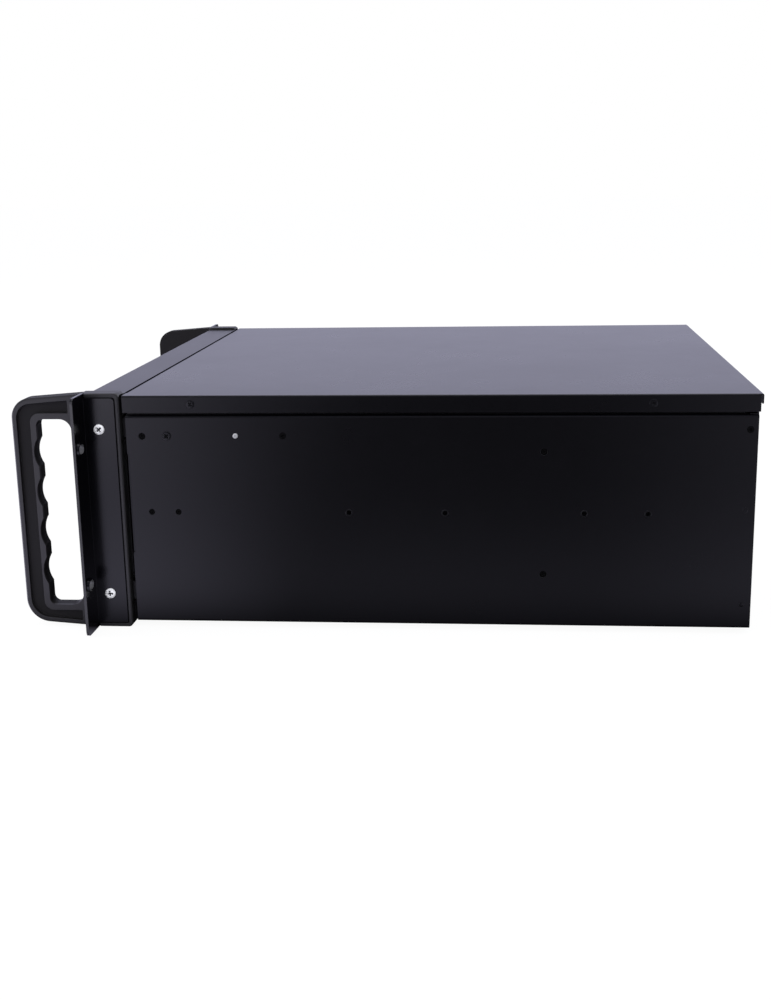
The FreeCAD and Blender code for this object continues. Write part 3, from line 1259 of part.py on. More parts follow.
def psu_rocker():
    """Rocker at rest in its off position, tilted about its trunnions."""
    pivot = rocker_pivot()
    front = INLET_FACE
    profile = [(pivot.y - TRUNNION_R - PAST, pivot.z), (front - ROCKER_DEPTH / 2, pivot.z - ROCKER_HALF),
               (front, pivot.z - ROCKER_HALF), (front - PAST, pivot.z), (front, pivot.z + ROCKER_HALF),
               (front - ROCKER_DEPTH / 2, pivot.z + ROCKER_HALF)]
    rocker = prism(profile, "yz", pivot.x - ROCKER_WIDTH / 2, pivot.x + ROCKER_WIDTH / 2)
    reach = ROCKER_WIDTH / 2 + ROCKER_SIDE_GAP + TRUNNION_REACH - HOLE_FIT
    axle = rod(TRUNNION_R, "yz", pivot.y, pivot.z, pivot.x - reach, pivot.x + reach)
    return turned(joined(rocker, axle), Vector(1, 0, 0), ROCKER_TILT, pivot)


def pieces():
    """Every named piece of the server, in the frame whose y starts at the front of the rack ears."""
    ear, cap, grip = rack_ear(), end_cap(), handle()
    return {
        "base_tray": base_tray(), "front_plate": front_plate(), "rear_panel": rear_panel(),
        "top_cover": top_cover(), "rubber_feet": rubber_feet(),
        "rack_ear_right": ear, "rack_ear_left": mirrored(ear), "ear_screws": ear_screws(),
        "bezel_end_cap_right": cap, "bezel_end_cap_left": mirrored(cap),
        "handle_right": grip, "handle_left": mirrored(grip),
        "front_bezel": front_bezel(), "drive_door": drive_door(), "door_hinge_pins": door_hinge_pins(),
        "lock_housing": lock_housing(), "lock_plug": lock_plug(), "lock_cam": lock_cam(),
        "filter_cover": filter_cover(), "filter_screen": filter_screen(),
        "power_button": push_button("power", POWER_PROUD, POWER_TRAVEL),
        "reset_button": push_button("reset", RESET_PROUD, RESET_TRAVEL),
        "control_board": control_board(), "status_lights": status_lights(), "front_usb_ports": usb_ports(),
        "drive_cage": drive_cage(), "bay_covers": bay_covers(), "hdd_cage": hdd_cage(),
        "hard_drives": hard_drives(), "support_bar": support_bar(),
        "motherboard": motherboard(), "standoffs": standoffs(), "cpu_heatsink": cpu_heatsink(),
        "chipset_heatsink": chipset_heatsink(), "memory_sockets": memory_sockets(),
        "memory_modules": memory_modules(), "expansion_sockets": expansion_sockets(),
        "board_power_socket": board_power_socket(), "io_ports": io_ports(), "io_shield": io_shield(),
        "slot_covers": slot_covers(),
        "fan_frames": group([front_fan(fan_frame), rear_fan(fan_frame, 1), rear_fan(fan_frame, -1),
                             psu_fan(fan_frame)]),
        "front_fan_rotor": front_fan(fan_rotor), "psu_fan_rotor": psu_fan(fan_rotor),
        "rear_fan_rotor_right": rear_fan(fan_rotor, 1), "rear_fan_rotor_left": rear_fan(fan_rotor, -1),
        "psu_case": psu_case(), "psu_inlet": psu_inlet(), "psu_rocker": psu_rocker(),
    }


def front_y():
    """Where the front of the rack ears lies when the origin is under the middle of the whole server."""
    return (HANDLE_REACH - COVER_REAR) / 2


def main():
    os.makedirs("parts", exist_ok=True)
    for name, shape in pieces().items():
        moved(shape, 0, front_y(), 0).exportStep("parts/" + name + ".step")
    print("panel", PANEL_TOP - PANEL_BOTTOM, "width", 2 * EAR_X, "depth", HANDLE_REACH + COVER_REAR)


if __name__ == "__main__":
    main()
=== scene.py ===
import bpy
import bmesh
import json
import math
from mathutils import Euler, Matrix, Vector


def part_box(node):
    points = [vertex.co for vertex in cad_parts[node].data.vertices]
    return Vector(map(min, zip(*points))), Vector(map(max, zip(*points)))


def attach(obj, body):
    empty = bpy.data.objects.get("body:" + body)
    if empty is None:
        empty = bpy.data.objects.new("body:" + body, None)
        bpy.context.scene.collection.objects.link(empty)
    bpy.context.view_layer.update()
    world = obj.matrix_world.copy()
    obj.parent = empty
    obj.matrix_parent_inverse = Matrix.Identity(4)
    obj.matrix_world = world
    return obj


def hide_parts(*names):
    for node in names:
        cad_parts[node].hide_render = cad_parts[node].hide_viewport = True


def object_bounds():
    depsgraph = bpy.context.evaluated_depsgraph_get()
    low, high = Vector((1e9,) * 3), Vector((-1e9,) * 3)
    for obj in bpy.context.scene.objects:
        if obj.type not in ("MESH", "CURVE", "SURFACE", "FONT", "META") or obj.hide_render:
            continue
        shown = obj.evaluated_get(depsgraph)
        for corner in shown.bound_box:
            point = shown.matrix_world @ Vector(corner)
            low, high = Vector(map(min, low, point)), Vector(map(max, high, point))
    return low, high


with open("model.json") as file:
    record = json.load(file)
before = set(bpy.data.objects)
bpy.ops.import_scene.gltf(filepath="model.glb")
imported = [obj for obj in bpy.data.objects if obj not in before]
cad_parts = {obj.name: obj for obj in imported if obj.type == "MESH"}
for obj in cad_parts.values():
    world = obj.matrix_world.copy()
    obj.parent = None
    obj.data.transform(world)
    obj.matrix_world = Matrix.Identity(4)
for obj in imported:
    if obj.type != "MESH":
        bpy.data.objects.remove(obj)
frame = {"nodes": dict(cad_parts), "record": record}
nodes = frame["nodes"]
cadLow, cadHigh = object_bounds()
mm = 0.001
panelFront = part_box("rack_ear_right")[0].y
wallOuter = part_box("base_tray")[1].x / mm
# from millimetres, with Y counted back from the panel's front, to the frame's metres
toRow = Matrix.Translation((0.0, panelFront, 0.0)) @ Matrix.Scale(mm, 4)
print("frame loaded:", len(nodes), "nodes")

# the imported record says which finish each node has
slotOf = {part["node"]: part["material_slot"] for part in frame["record"]["subparts"]}


def behindFront(y):
    return (y - panelFront) / mm


# shader groups that several finishes share

def newGroup(name, inputs, outputs):
    group = bpy.data.node_groups.new(name, "ShaderNodeTree")
    for label, value in inputs.items():
        socket = group.interface.new_socket(label, in_out="INPUT", socket_type="NodeSocketFloat")
        socket.default_value = value
    for label, kind in outputs.items():
        group.interface.new_socket(label, in_out="OUTPUT", socket_type=kind)
    return group, group.nodes.new("NodeGroupInput"), group.nodes.new("NodeGroupOutput")


def maths(tree, kind, first, second=None):
    node = tree.nodes.new("ShaderNodeMath")
    node.operation = kind
    for place, value in enumerate((first, second)):
        if value is None:
            continue
        if isinstance(value, (int, float)):
            node.inputs[place].default_value = value
        else:
            tree.links.new(value, node.inputs[place])
    return node.outputs[0]


def shares(tree, first, firstShare, second, secondShare):
    return maths(tree, "ADD", maths(tree, "MULTIPLY", first, firstShare),
                 maths(tree, "MULTIPLY", second, secondShare))


def ranged(tree, value, low, high, newLow=0.0, newHigh=1.0):
    node = tree.nodes.new("ShaderNodeMapRange")
    for label, number in (("From Min", low), ("From Max", high), ("To Min", newLow), ("To Max", newHigh)):
        node.inputs[label].default_value = number
    tree.links.new(value, node.inputs["Value"])
    return node.outputs[0]


def noise(tree, vector, scale, detail=2.0, rough=0.5):
    node = tree.nodes.new("ShaderNodeTexNoise")
    node.inputs["Detail"].default_value = detail
    node.inputs["Roughness"].default_value = rough
    if isinstance(scale, (int, float)):
        node.inputs["Scale"].default_value = scale
    else:
        tree.links.new(scale, node.inputs["Scale"])
    tree.links.new(vector, node.inputs["Vector"])
    return node.outputs["Fac"]


def surfacePlace(tree, kind="Object"):
    return tree.nodes.new("ShaderNodeTexCoord").outputs[kind]


def axes(tree, vector):
    split = tree.nodes.new("ShaderNodeSeparateXYZ")
    tree.links.new(vector, split.inputs[0])
    return split.outputs


grain = {"fineScale": 3.1, "pebbleShare": 0.7, "fineShare": 0.3}


def grainGroup():
    # fine pebble of powder coat and of textured mould steel
    group, given, made = newGroup("coatGrain", {"Scale": 1200.0}, {"Height": "NodeSocketFloat"})
    place = surfacePlace(group)
    pebble = noise(group, place, given.outputs["Scale"], 2.0, 0.55)
    fine = noise(group, place, maths(group, "MULTIPLY", given.outputs["Scale"], grain["fineScale"]), 1.0)
    both = shares(group, pebble, grain["pebbleShare"], fine, grain["fineShare"])
    group.links.new(both, made.inputs["Height"])
    return group


patches = {"smallScale": 7.3, "broadShare": 0.65, "smallShare": 0.35, "spread": (0.32, 0.68)}


def handlingGroup():
    # broad uneven patches that hands and cloths leave on a finish
    group, given, made = newGroup("handling", {"Scale": 9.0}, {"Mask": "NodeSocketFloat"})
    place = surfacePlace(group)
    broad = noise(group, place, given.outputs["Scale"], 3.0, 0.6)
    smaller = maths(group, "MULTIPLY", given.outputs["Scale"], patches["smallScale"])
    small = noise(group, place, smaller, 4.0, 0.65)
    both = shares(group, broad, patches["broadShare"], small, patches["smallShare"])
    group.links.new(ranged(group, both, *patches["spread"]), made.inputs["Mask"])
    return group


rubbing = {"samples": 4, "turned": (0.995, 0.86), "spread": (0.35, 0.65), "least": 0.2}


def edgeGroup():
    # rubbed edges: where a rounded normal leaves the flat one
    group, given, made = newGroup("edgeWear", {"Radius": 0.0006, "Breakup": 260.0},
                                  {"Mask": "NodeSocketFloat", "Normal": "NodeSocketVector"})
    bevel = group.nodes.new("ShaderNodeBevel")
    bevel.samples = rubbing["samples"]
    group.links.new(given.outputs["Radius"], bevel.inputs["Radius"])
    flat = group.nodes.new("ShaderNodeNewGeometry").outputs["Normal"]
    dot = group.nodes.new("ShaderNodeVectorMath")
    dot.operation = "DOT_PRODUCT"
    group.links.new(bevel.outputs[0], dot.inputs[0])
    group.links.new(flat, dot.inputs[1])
    turned = ranged(group, dot.outputs["Value"], *rubbing["turned"])
    patch = noise(group, surfacePlace(group), given.outputs["Breakup"], 3.0)
    broken = ranged(group, patch, *rubbing["spread"], rubbing["least"], 1.0)
    group.links.new(maths(group, "MULTIPLY", turned, broken), made.inputs["Mask"])
    group.links.new(bevel.outputs[0], made.inputs["Normal"])
    return group


settling = {"spread": (0.4, 0.7), "upwards": (0.6, 1.0)}


def dustGroup():
    # thin dust that settles on faces that look up
    group, given, made = newGroup("dust", {"Amount": 0.1, "Scale": 70.0}, {"Mask": "NodeSocketFloat"})
    normal = group.nodes.new("ShaderNodeNewGeometry").outputs["Normal"]
    patch = noise(group, surfacePlace(group), given.outputs["Scale"], 6.0, 0.7)
    patch = ranged(group, patch, *settling["spread"])
    up = ranged(group, axes(group, normal)["Z"], *settling["upwards"])
    lying = maths(group, "MULTIPLY", maths(group, "MULTIPLY", up, patch), given.outputs["Amount"])
    group.links.new(lying, made.inputs["Mask"])
    return group


def brushGroup():
    # long fine scratches along the depth, left by rolling or brushing
    group, given, made = newGroup("brushing", {"Across": 900.0, "Along": 14.0}, {"Height": "NodeSocketFloat"})
    split = axes(group, surfacePlace(group))
    join = group.nodes.new("ShaderNodeCombineXYZ")
    for place, (axis, stretch) in enumerate((("X", "Across"), ("Y", "Along"), ("Z", "Across"))):
        group.links.new(maths(group, "MULTIPLY", split[axis], given.outputs[stretch]), join.inputs[place])
    group.links.new(noise(group, join.outputs[0], 1.0, 4.0, 0.6), made.inputs["Height"])
    return group


coatGrain, handling, edgeWear, dust, brushing = (
    grainGroup(), handlingGroup(), edgeGroup(), dustGroup(), brushGroup())
print("shader groups built")


def placed(tree, group, **values):
    node = tree.nodes.new("ShaderNodeGroup")
    node.node_tree = group
    for label, value in values.items():
        node.inputs[label].default_value = value
    return node.outputs


def blended(tree, mask, under, over):
    node = tree.nodes.new("ShaderNodeMix")
    node.data_type = "RGBA"
    tree.links.new(mask, node.inputs["Factor"])
    for socket, value in ((node.inputs[6], under), (node.inputs[7], over)):
        if isinstance(value, tuple):
            socket.default_value = (*value, 1.0)
        else:
            tree.links.new(value, socket)
    return node.outputs[2]


def outwards(tree, near, far):
    # 0 nearer to the middle than the first distance, 1 beyond the second
    return ranged(tree, maths(tree, "ABSOLUTE", axes(tree, surfacePlace(tree))["X"]), near, far)


# what a finish has where its own row says nothing else
plainLook = {"metal": 0.0, "ior": 1.45, "coat": 0.0, "coatRough": 0.1, "patch": 9.0, "round": 0.0005,
             "grain": 1200.0, "relief": 0.3, "depth": 0.00004, "dustColour": (0.32, 0.31, 0.3)}


def finish(name, own):
    # one opaque finish: patchy colour and gloss, grain or brushing as relief, rubbed edges, painted
    # highlight, dust
    look = {**plainLook, **own}
    mat = bpy.data.materials.new(name)
    mat.use_nodes = True
    tree = mat.node_tree
    shader = tree.nodes["Principled BSDF"]
    for label, key in (("Metallic", "metal"), ("IOR", "ior"), ("Coat Weight", "coat"),
                       ("Coat Roughness", "coatRough")):
        shader.inputs[label].default_value = look[key]
    if "sunk" in look:
        rims = maths(tree, "MULTIPLY", outwards(tree, *look["sunk"]), look["rimGloss"])
        tree.links.new(rims, shader.inputs["Coat Weight"])
    patch = placed(tree, handling, Scale=look["patch"])["Mask"]
    colour = blended(tree, patch, look["colour"], look["second"])
    worn = placed(tree, edgeWear, Radius=look["round"])
    if "wear" in look:
        colour = blended(tree, maths(tree, "MULTIPLY", worn["Mask"], look["wear"]), colour, look["edge"])
    # painted highlight: a lighter colour on the outer end face, where it catches light
    if "tip" in look:
        colour = blended(tree, outwards(tree, *look["tip"]), colour, look["edge"])
    if "dust" in look:
        colour = blended(tree, placed(tree, dust, Amount=look["dust"])["Mask"], colour, look["dustColour"])
    tree.links.new(colour, shader.inputs["Base Color"])
    tree.links.new(ranged(tree, patch, 0.0, 1.0, *look["rough"]), shader.inputs["Roughness"])
    bump = tree.nodes.new("ShaderNodeBump")
    bump.inputs["Strength"].default_value = look["relief"]
    bump.inputs["Distance"].default_value = look["depth"]
    if "brushed" in look:
        height = placed(tree, brushing, Across=look["brushed"])["Height"]
    else:
        height = placed(tree, coatGrain, Scale=look["grain"])["Height"]
    tree.links.new(height, bump.inputs["Height"])
    tree.links.new(worn["Normal"], bump.inputs["Normal"])
    tree.links.new(bump.outputs["Normal"], shader.inputs["Normal"])
    return mat


def grey(level):
    return (level, level, level)


paint = {"colour": (0.0011, 0.0010, 0.0017), "second": (0.0016, 0.0015, 0.0023), "ior": 1.30, "grain": 1500.0,
         "depth": 0.00003}
casePaint = {**paint, "relief": 0.14, "dust": 0.003, "edge": (0.05, 0.05, 0.055), "wear": 0.25,
             "round": 0.0007}
moulding = {"grain": 2200.0, "relief": 0.35, "edge": grey(0.05), "wear": 0.3}
rolled = {"metal": 1.0, "depth": 0.00001, "relief": 0.2, "round": 0.0003}
looks = {
    "black_paint": {**casePaint, "rough": (0.27, 0.29)},
    "ear_paint": {**paint, "rough": (0.19, 0.23), "relief": 0.25, "round": 0.0004,
                  "edge": (0.032, 0.031, 0.034), "tip": (0.2404, 0.2410)},  # lighter outer end face: a painted highlight where the end face catches light
    "bezel_paint": {**casePaint, "rough": (0.32, 0.34)},
    # a lighter paint for the slot linings: a painted highlight where the rims of the rack slots catch light
    "slot_highlight_paint": {"colour": (0.050, 0.050, 0.052), "second": (0.075, 0.075, 0.078), "rough": (0.32, 0.42),
                     "grain": 1500.0, "depth": 0.00003, "relief": 0.25, "round": 0.0003},
    # a dull black: painted shade in the recess bottoms and in the holes of the walls, and the finish of the
    # dark flat screws
    "sunk_black": {"colour": (0.0012, 0.0012, 0.0013), "second": (0.0016, 0.0016, 0.0017),
                   "rough": (0.6, 0.7), "ior": 1.15, "grain": 1500.0, "depth": 0.00003, "relief": 0.25},
    # a dark matte for painted shade in the seam behind the front panel
    "seam_shade_matte": {"colour": (0.0016, 0.0015, 0.0026), "second": (0.0022, 0.0021, 0.0034),
                  "rough": (0.85, 0.95), "ior": 1.06, "grain": 2600.0, "depth": 0.00003, "relief": 0.4},
    "black_plastic": {**moulding, "colour": (0.0060, 0.0058, 0.0058), "second": (0.0085, 0.0082, 0.0082),
                      "rough": (0.40, 0.50), "ior": 1.42, "round": 0.0006},
    "handle_plastic": {**moulding, "colour": (0.0060, 0.0054, 0.0054), "second": (0.0080, 0.0073, 0.0073),
                       "rough": (0.55, 0.65), "ior": 1.25, "round": 0.0008,
                       "sunk": (0.2142, 0.2158), "rimGloss": 0.42, "coatRough": 0.35},  # dull in the channel
    "zinc_steel": {**rolled, "colour": (0.47, 0.47, 0.46), "second": (0.56, 0.56, 0.54), "metal": 0.85,
                   "rough": (0.30, 0.42), "brushed": 1500.0},
    "bright_zinc": {**rolled, "colour": grey(0.93), "second": grey(0.97), "metal": 0.1,
                    "rough": (0.26, 0.38), "brushed": 1500.0},
    "dull_zinc": {**rolled, "colour": (0.36, 0.36, 0.37), "second": (0.42, 0.42, 0.43), "metal": 0.1,
                  "rough": (0.34, 0.46), "brushed": 1500.0},
    "lock_chrome": {**rolled, "colour": (0.50, 0.50, 0.49), "second": (0.44, 0.44, 0.43),
                    "rough": (0.14, 0.22), "brushed": 2600.0, "depth": 0.000005, "relief": 0.1},
    "filter_foam": {"colour": grey(0.010), "second": grey(0.020), "rough": (0.85, 0.95),
                    "grain": 700.0, "depth": 0.0006, "relief": 1.0, "round": 0.0002},
    "foot_rubber": {"colour": grey(0.010), "second": grey(0.016), "rough": (0.65, 0.8),
                    "grain": 900.0, "depth": 0.00006, "relief": 0.4},
    "light_lens": {"colour": (0.10, 0.42, 0.16), "second": (0.14, 0.50, 0.20), "rough": (0.12, 0.2),
                   "coat": 0.4, "depth": 0.00001, "relief": 0.1},
    "circuit_board": {"colour": (0.008, 0.050, 0.024), "second": (0.012, 0.066, 0.032), "rough": (0.28, 0.4),
                      "depth": 0.00002, "relief": 0.2, "round": 0.0001},
    "connector_plastic": {"colour": (0.012, 0.012, 0.013), "second": (0.018, 0.018, 0.019),
                          "rough": (0.42, 0.52), "depth": 0.00003, "round": 0.0003},
    "port_steel": {**rolled, "colour": (0.58, 0.58, 0.56), "second": (0.67, 0.67, 0.64),
                   "rough": (0.22, 0.34), "brushed": 1800.0},
    "aluminium": {**rolled, "colour": (0.70, 0.70, 0.69), "second": (0.80, 0.80, 0.78),
                  "rough": (0.30, 0.42), "brushed": 1200.0, "depth": 0.00002},
    "brass": {**rolled, "colour": (0.62, 0.45, 0.17), "second": (0.70, 0.53, 0.24),
              "rough": (0.24, 0.34), "brushed": 2400.0, "round": 0.0002},
    "fan_plastic": {"colour": grey(0.010), "second": grey(0.015), "rough": (0.38, 0.5),
                    "depth": 0.00003, "round": 0.0004},
}
finishes = {slot: finish(slot, look) for slot, look in looks.items()}
ownFinish = {"handle_right": "handle_plastic", "handle_left": "handle_plastic",
             "rack_ear_right": "ear_paint", "rack_ear_left": "ear_paint", "front_bezel": "bezel_paint"}

for name, node in nodes.items():
    node.data.materials.clear()
    node.data.materials.append(finishes[ownFinish.get(name, slotOf[name])])
print("finishes on all nodes")


# rounded edges on the moulded and folded pieces, widths in millimetres

softEdges = {"handle_right": 0.6, "handle_left": 0.6, "bezel_end_cap_right": 0.4, "bezel_end_cap_left": 0.4,
             "rack_ear_right": 0.2, "rack_ear_left": 0.2, "drive_door": 0.35, "filter_cover": 0.35,
             "power_button": 0.3, "reset_button": 0.3, "lock_housing": 0.35, "rubber_feet": 0.8,
             "psu_inlet": 0.25, "psu_rocker": 0.25, "bay_covers": 0.3, "front_bezel": 0.3}
softRule = {"weld": 0.005, "flatAngle": 1.0, "edgeAngle": 32.0, "segments": 2}


def soften():
    for name, width in softEdges.items():
        weld = nodes[name].modifiers.new("weld", "WELD")
        weld.merge_threshold = softRule["weld"] * mm
        flat = nodes[name].modifiers.new("merge_flat_faces", "DECIMATE")
        flat.decimate_type = "DISSOLVE"
        flat.angle_limit = math.radians(softRule["flatAngle"])
        bevel = nodes[name].modifiers.new("round_edges", "BEVEL")
        bevel.width = width * mm
        bevel.segments = softRule["segments"]
        bevel.limit_method = "ANGLE"
        bevel.angle_limit = math.radians(softRule["edgeAngle"])
        bevel.harden_normals = True


soften()
print("edges rounded on", len(softEdges), "nodes")


# tools for the added pieces, all in millimetres until they become an object

def piece(name, shape, slot, body="chassis", smooth=35.0, look=None):
    shape.transform(toRow)
    bmesh.ops.recalc_face_normals(shape, faces=shape.faces)
    mesh = bpy.data.meshes.new(name)
    shape.to_mesh(mesh)
    shape.free()
    mesh.materials.append(finishes[look or slot])
    mesh.shade_smooth()
    mesh.set_sharp_from_angle(angle=math.radians(smooth))
    made = bpy.data.objects.new(name, mesh)
    bpy.context.scene.collection.objects.link(made)
    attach(made, body)
    return made


def facing(point, normal, turn=0.0):
    turned = Vector(normal).to_track_quat("Z", "Y").to_matrix().to_4x4()
    return Matrix.Translation(Vector(point)) @ turned @ Matrix.Rotation(math.radians(turn), 4, "Z")


def copies(pattern, places):
    # one shape that holds the pattern at each place
    source = bpy.data.meshes.new("pattern")
    pattern.to_mesh(source)
    pattern.free()
    shape = bmesh.new()
    for place in places:
        copy = source.copy()
        copy.transform(place)
        shape.from_mesh(copy)
        bpy.data.meshes.remove(copy)
    bpy.data.meshes.remove(source)
    return shape


def fasten(name, pattern, places, slot="black_paint", **rest):
    return piece(name, copies(pattern, places), slot, **rest)


def lathe(shape, profile, steps):
    rings = []
    for radius, height in profile:
        angles = [2 * math.pi * step / steps for step in range(steps if radius else 1)]
        rings.append([shape.verts.new((radius * math.cos(a), radius * math.sin(a), height)) for a in angles])
    for low, high in zip(rings, rings[1:]):
        for step in range(steps):
            corners = [low[step % len(low)], low[(step + 1) % len(low)],
                       high[(step + 1) % len(high)], high[step % len(high)]]
            corners = list(dict.fromkeys(corners))
            if len(corners) > 2:
                shape.faces.new(corners)
    return rings


def turnedPart(profile, steps=32):
    shape = bmesh.new()
    lathe(shape, profile, steps)
    return shape


def brick(shape, low, high, edge=0.0, segments=1):
    middle = (Vector(low) + Vector(high)) / 2
    size = Vector(high) - Vector(low)
    made = bmesh.ops.create_cube(shape, size=1.0,
                                 matrix=Matrix.Translation(middle) @ Matrix.Diagonal((*size, 1.0)))
    if edge:
        edges = list({line for corner in made["verts"] for line in corner.link_edges})
        bmesh.ops.bevel(shape, geom=edges, offset=edge, segments=segments, affect="EDGES", profile=0.5)


def loopEdges(shape, ring):
    return [shape.edges.get((a, b)) or shape.edges.new((a, b)) for a, b in zip(ring, ring[1:] + ring[:1])]


def joinLoops(shape, first, second):
    for index in range(len(first)):
        after = (index + 1) % len(first)
        shape.faces.new((first[index], second[index], second[after], first[after]))


# cross recess of a screw: how its floor narrows, and the dark insert of painted shade that stands a little
# above that floor
crossRecess = {"headSteps": 32, "floorShare": 0.62, "shadeArm": 0.84, "shadeSlot": 0.9, "shadeTaper": 0.8,
               "shadeDeep": 0.4}


def crossLoops(shape, arm, slot, level, deep, taper):
    # the recess's outline at its mouth, and narrower at its floor
    quarter = [(arm, -slot), (arm, slot), (slot, slot)]
    cross = [(x * c - y * s, x * s + y * c)
             for c, s in ((1, 0), (0, 1), (-1, 0), (0, -1)) for x, y in quarter]
    mouth = [shape.verts.new((x, y, level)) for x, y in cross]
    return mouth, [shape.verts.new((x * taper, y * taper, level - deep)) for x, y in cross]


def crossHead(look):
    # screw head with a tapered cross recess
    shape = bmesh.new()
    radius, height = look["radius"], look["height"]
    crown = [(radius * share, height * rise) for share, rise in look["crown"]]
    rings = lathe(shape, crown, crossRecess["headSteps"])
    shape.faces.new(list(reversed(rings[0])))
    mouth, floor = crossLoops(shape, look["arm"], look["slot"], height, look["deep"],
                              crossRecess["floorShare"])
    rims = loopEdges(shape, rings[-1]) + loopEdges(shape, mouth)
    bmesh.ops.triangle_fill(shape, use_beauty=True, edges=rims)
    joinLoops(shape, mouth, floor)
    shape.faces.new(floor)
    return shape


def crossShade(look):
    # painted shade: a dark insert at the bottom of a recess, standing for the shade there, so that the head's
    # own finish doesn't show through
    shape = bmesh.new()
    arm, slot = look["arm"] * crossRecess["shadeArm"], look["slot"] * crossRecess["shadeSlot"]
    upper, lower = crossLoops(shape, arm, slot, look["height"] - look["shade"], crossRecess["shadeDeep"],
                              crossRecess["shadeTaper"])
    joinLoops(shape, upper, lower)
    shape.faces.new(upper)
    shape.faces.new(lower)
    return shape


# shares of a head's radius and height, from its seat to its top
panCrown = ((1.0, 0.0), (1.0, 0.35), (0.94, 0.68), (0.82, 0.9), (0.66, 1.0))
flatCrown = ((1.0, 0.0), (1.0, 0.5), (0.93, 0.85), (0.82, 1.0))


# screws that hold the rack ears, in bright zinc

earScrew = {"radius": 3.9, "height": 2.2, "arm": 2.6, "slot": 0.72, "deep": 1.9, "crown": panCrown,
            "turns": (4.0, 41.0), "shade": 1.3}


def addEarScrews():
    low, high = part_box("ear_screws")
    y = behindFront((low.y + high.y) / 2)
    half = (high.y - low.y) / 2 / mm
    seat = high.x / mm - earScrew["height"]
    levels = (low.z / mm + half, high.z / mm - half)
    places = [facing((side * seat, y, z), (side, 0, 0), turn) for side in (-1, 1)
              for z, turn in zip(levels, earScrew["turns"])]
    heads = fasten("ear_screw_heads", crossHead(earScrew), places, "zinc_steel", look="bright_zinc")
    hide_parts("ear_screws")
    # painted shade: dark inserts in the cross recesses of the bright heads
    fasten("ear_screw_recess_shade", crossShade(earScrew), places)


addEarScrews()


# fasteners on the side walls and on the cover's skirt, at places (y, z) read from the photograph

wallFasteners = {
    "wallScrew": {"radius": 3.2, "height": 1.0, "arm": 1.9, "slot": 0.62, "deep": 0.9, "crown": flatCrown,
                  "shade": 0.25},
    "wallScrewPlaces": ((61.4, 145.8),), "wallScrewTurn": 40.0, "wallScrewSmooth": 15.0,
    "flatScrew": {"radius": 2.5, "height": 0.5, "arm": 1.4, "slot": 0.4, "deep": 0.45, "crown": flatCrown},
    "flatPlaces": ((146.6, 145.8), (476.3, 150.2)),
    "rivet": ((0.0, 0.0), (2.0, 0.0), (2.0, 0.3), (1.75, 0.85), (1.2, 1.15), (0.8, 1.15), (0.7, 0.7),
              (0.0, 0.65)),
    "rivetPlaces": ((112.1, 145.8),),
    "rim": ((1.75, -0.05), (2.0, 0.3), (2.4, 0.3), (2.9, -0.05), (1.75, -0.05)),
    "smallRim": ((0.0, -0.2), (1.2, -0.2), (1.5, 0.3), (2.2, 0.0), (2.2, -0.4), (0.0, -0.4)),
    "smallRimPlaces": ((475.0, 92.1),),
    "dimple": ((0.0, -0.1), (2.0, -0.1), (1.9, 0.25), (1.4, 0.6), (0.7, 0.75), (0.0, 0.8)),
    "dimplePlaces": ((475.5, 22.6),),
    "insert": ((0.0, -6.0), (2.9, -6.0), (2.9, -1.3), (1.6, -1.3), (1.6, -5.2), (0.0, -5.2)),
    "insertPlaces": ((193.4, 89.0), (263.2, 89.0), (362.6, 89.0), (407.6, 89.0)),
    "sunkScrew": {"radius": 2.4, "height": 0.6, "arm": 1.3, "slot": 0.4, "deep": 0.4, "crown": flatCrown},
    "sunkPlaces": ((43.2, 145.6), (333.7, 134.3), (333.7, 43.7)), "sunkDepth": 1.15,
    "plateScrew": {"radius": 2.1, "height": 0.6, "arm": 1.2, "slot": 0.36, "deep": 0.4, "crown": flatCrown},
    "platePlaces": ((47.3, 89.0), (67.3, 89.0)),
    "skirtScrew": {"radius": 3.0, "height": 0.6, "arm": 1.7, "slot": 0.45, "deep": 0.55, "crown": flatCrown},
    "skirtPlaces": ((80.4, 169.2), (409.2, 169.2)), "skirtTurn": 45.0,
}


def onWalls(places, out=wallOuter, sides=(-1, 1), turn=20.0):
    return [facing((side * out, y, z), (side, 0, 0), turn) for side in sides for y, z in places]


def addWallFasteners():
    look = wallFasteners
    wallScrews = onWalls(look["wallScrewPlaces"], turn=look["wallScrewTurn"])
    fasten("wall_screws", crossHead(look["wallScrew"]), wallScrews, smooth=look["wallScrewSmooth"])
    # painted shade: dark inserts in the cross recesses of the black heads
    fasten("wall_screw_recess_shade", crossShade(look["wallScrew"]), wallScrews, look="sunk_black")
    fasten("wall_flat_screws", crossHead(look["flatScrew"]), onWalls(look["flatPlaces"]), look="sunk_black")
    fasten("wall_rivets", turnedPart(look["rivet"]), onWalls(look["rivetPlaces"]), "zinc_steel",
           look="dull_zinc")
    # the rail inserts are black cups closed at the bottom; their closed black bottoms are painted shade that
    # keeps the rail holes dark
    for name, profile, places in (("rail_hole_rims", "rim", "insertPlaces"),
                                  ("rear_hole_rims", "smallRim", "smallRimPlaces"),
                                  ("wall_dimples", "dimple", "dimplePlaces"),
                                  ("rail_inserts_and_shade", "insert", "insertPlaces")):
        fasten(name, turnedPart(look[profile]), onWalls(look[places]))
    # screws of the inner plate, cage and supply, seen down the holes in the right wall; their dull black is
    # painted shade that keeps those holes dark
    deep = wallOuter - look["sunkDepth"]
    for name, screw, places in (("sunk_screws", "sunkScrew", "sunkPlaces"),
                                ("plate_screws", "plateScrew", "platePlaces")):
        fasten(name, crossHead(look[screw]), onWalls(look[places], deep, (1,)), look="sunk_black")
    skirt = onWalls(look["skirtPlaces"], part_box("top_cover")[1].x / mm, turn=look["skirtTurn"])
    fasten("skirt_screws", crossHead(look["skirtScrew"]), skirt, body="lid")


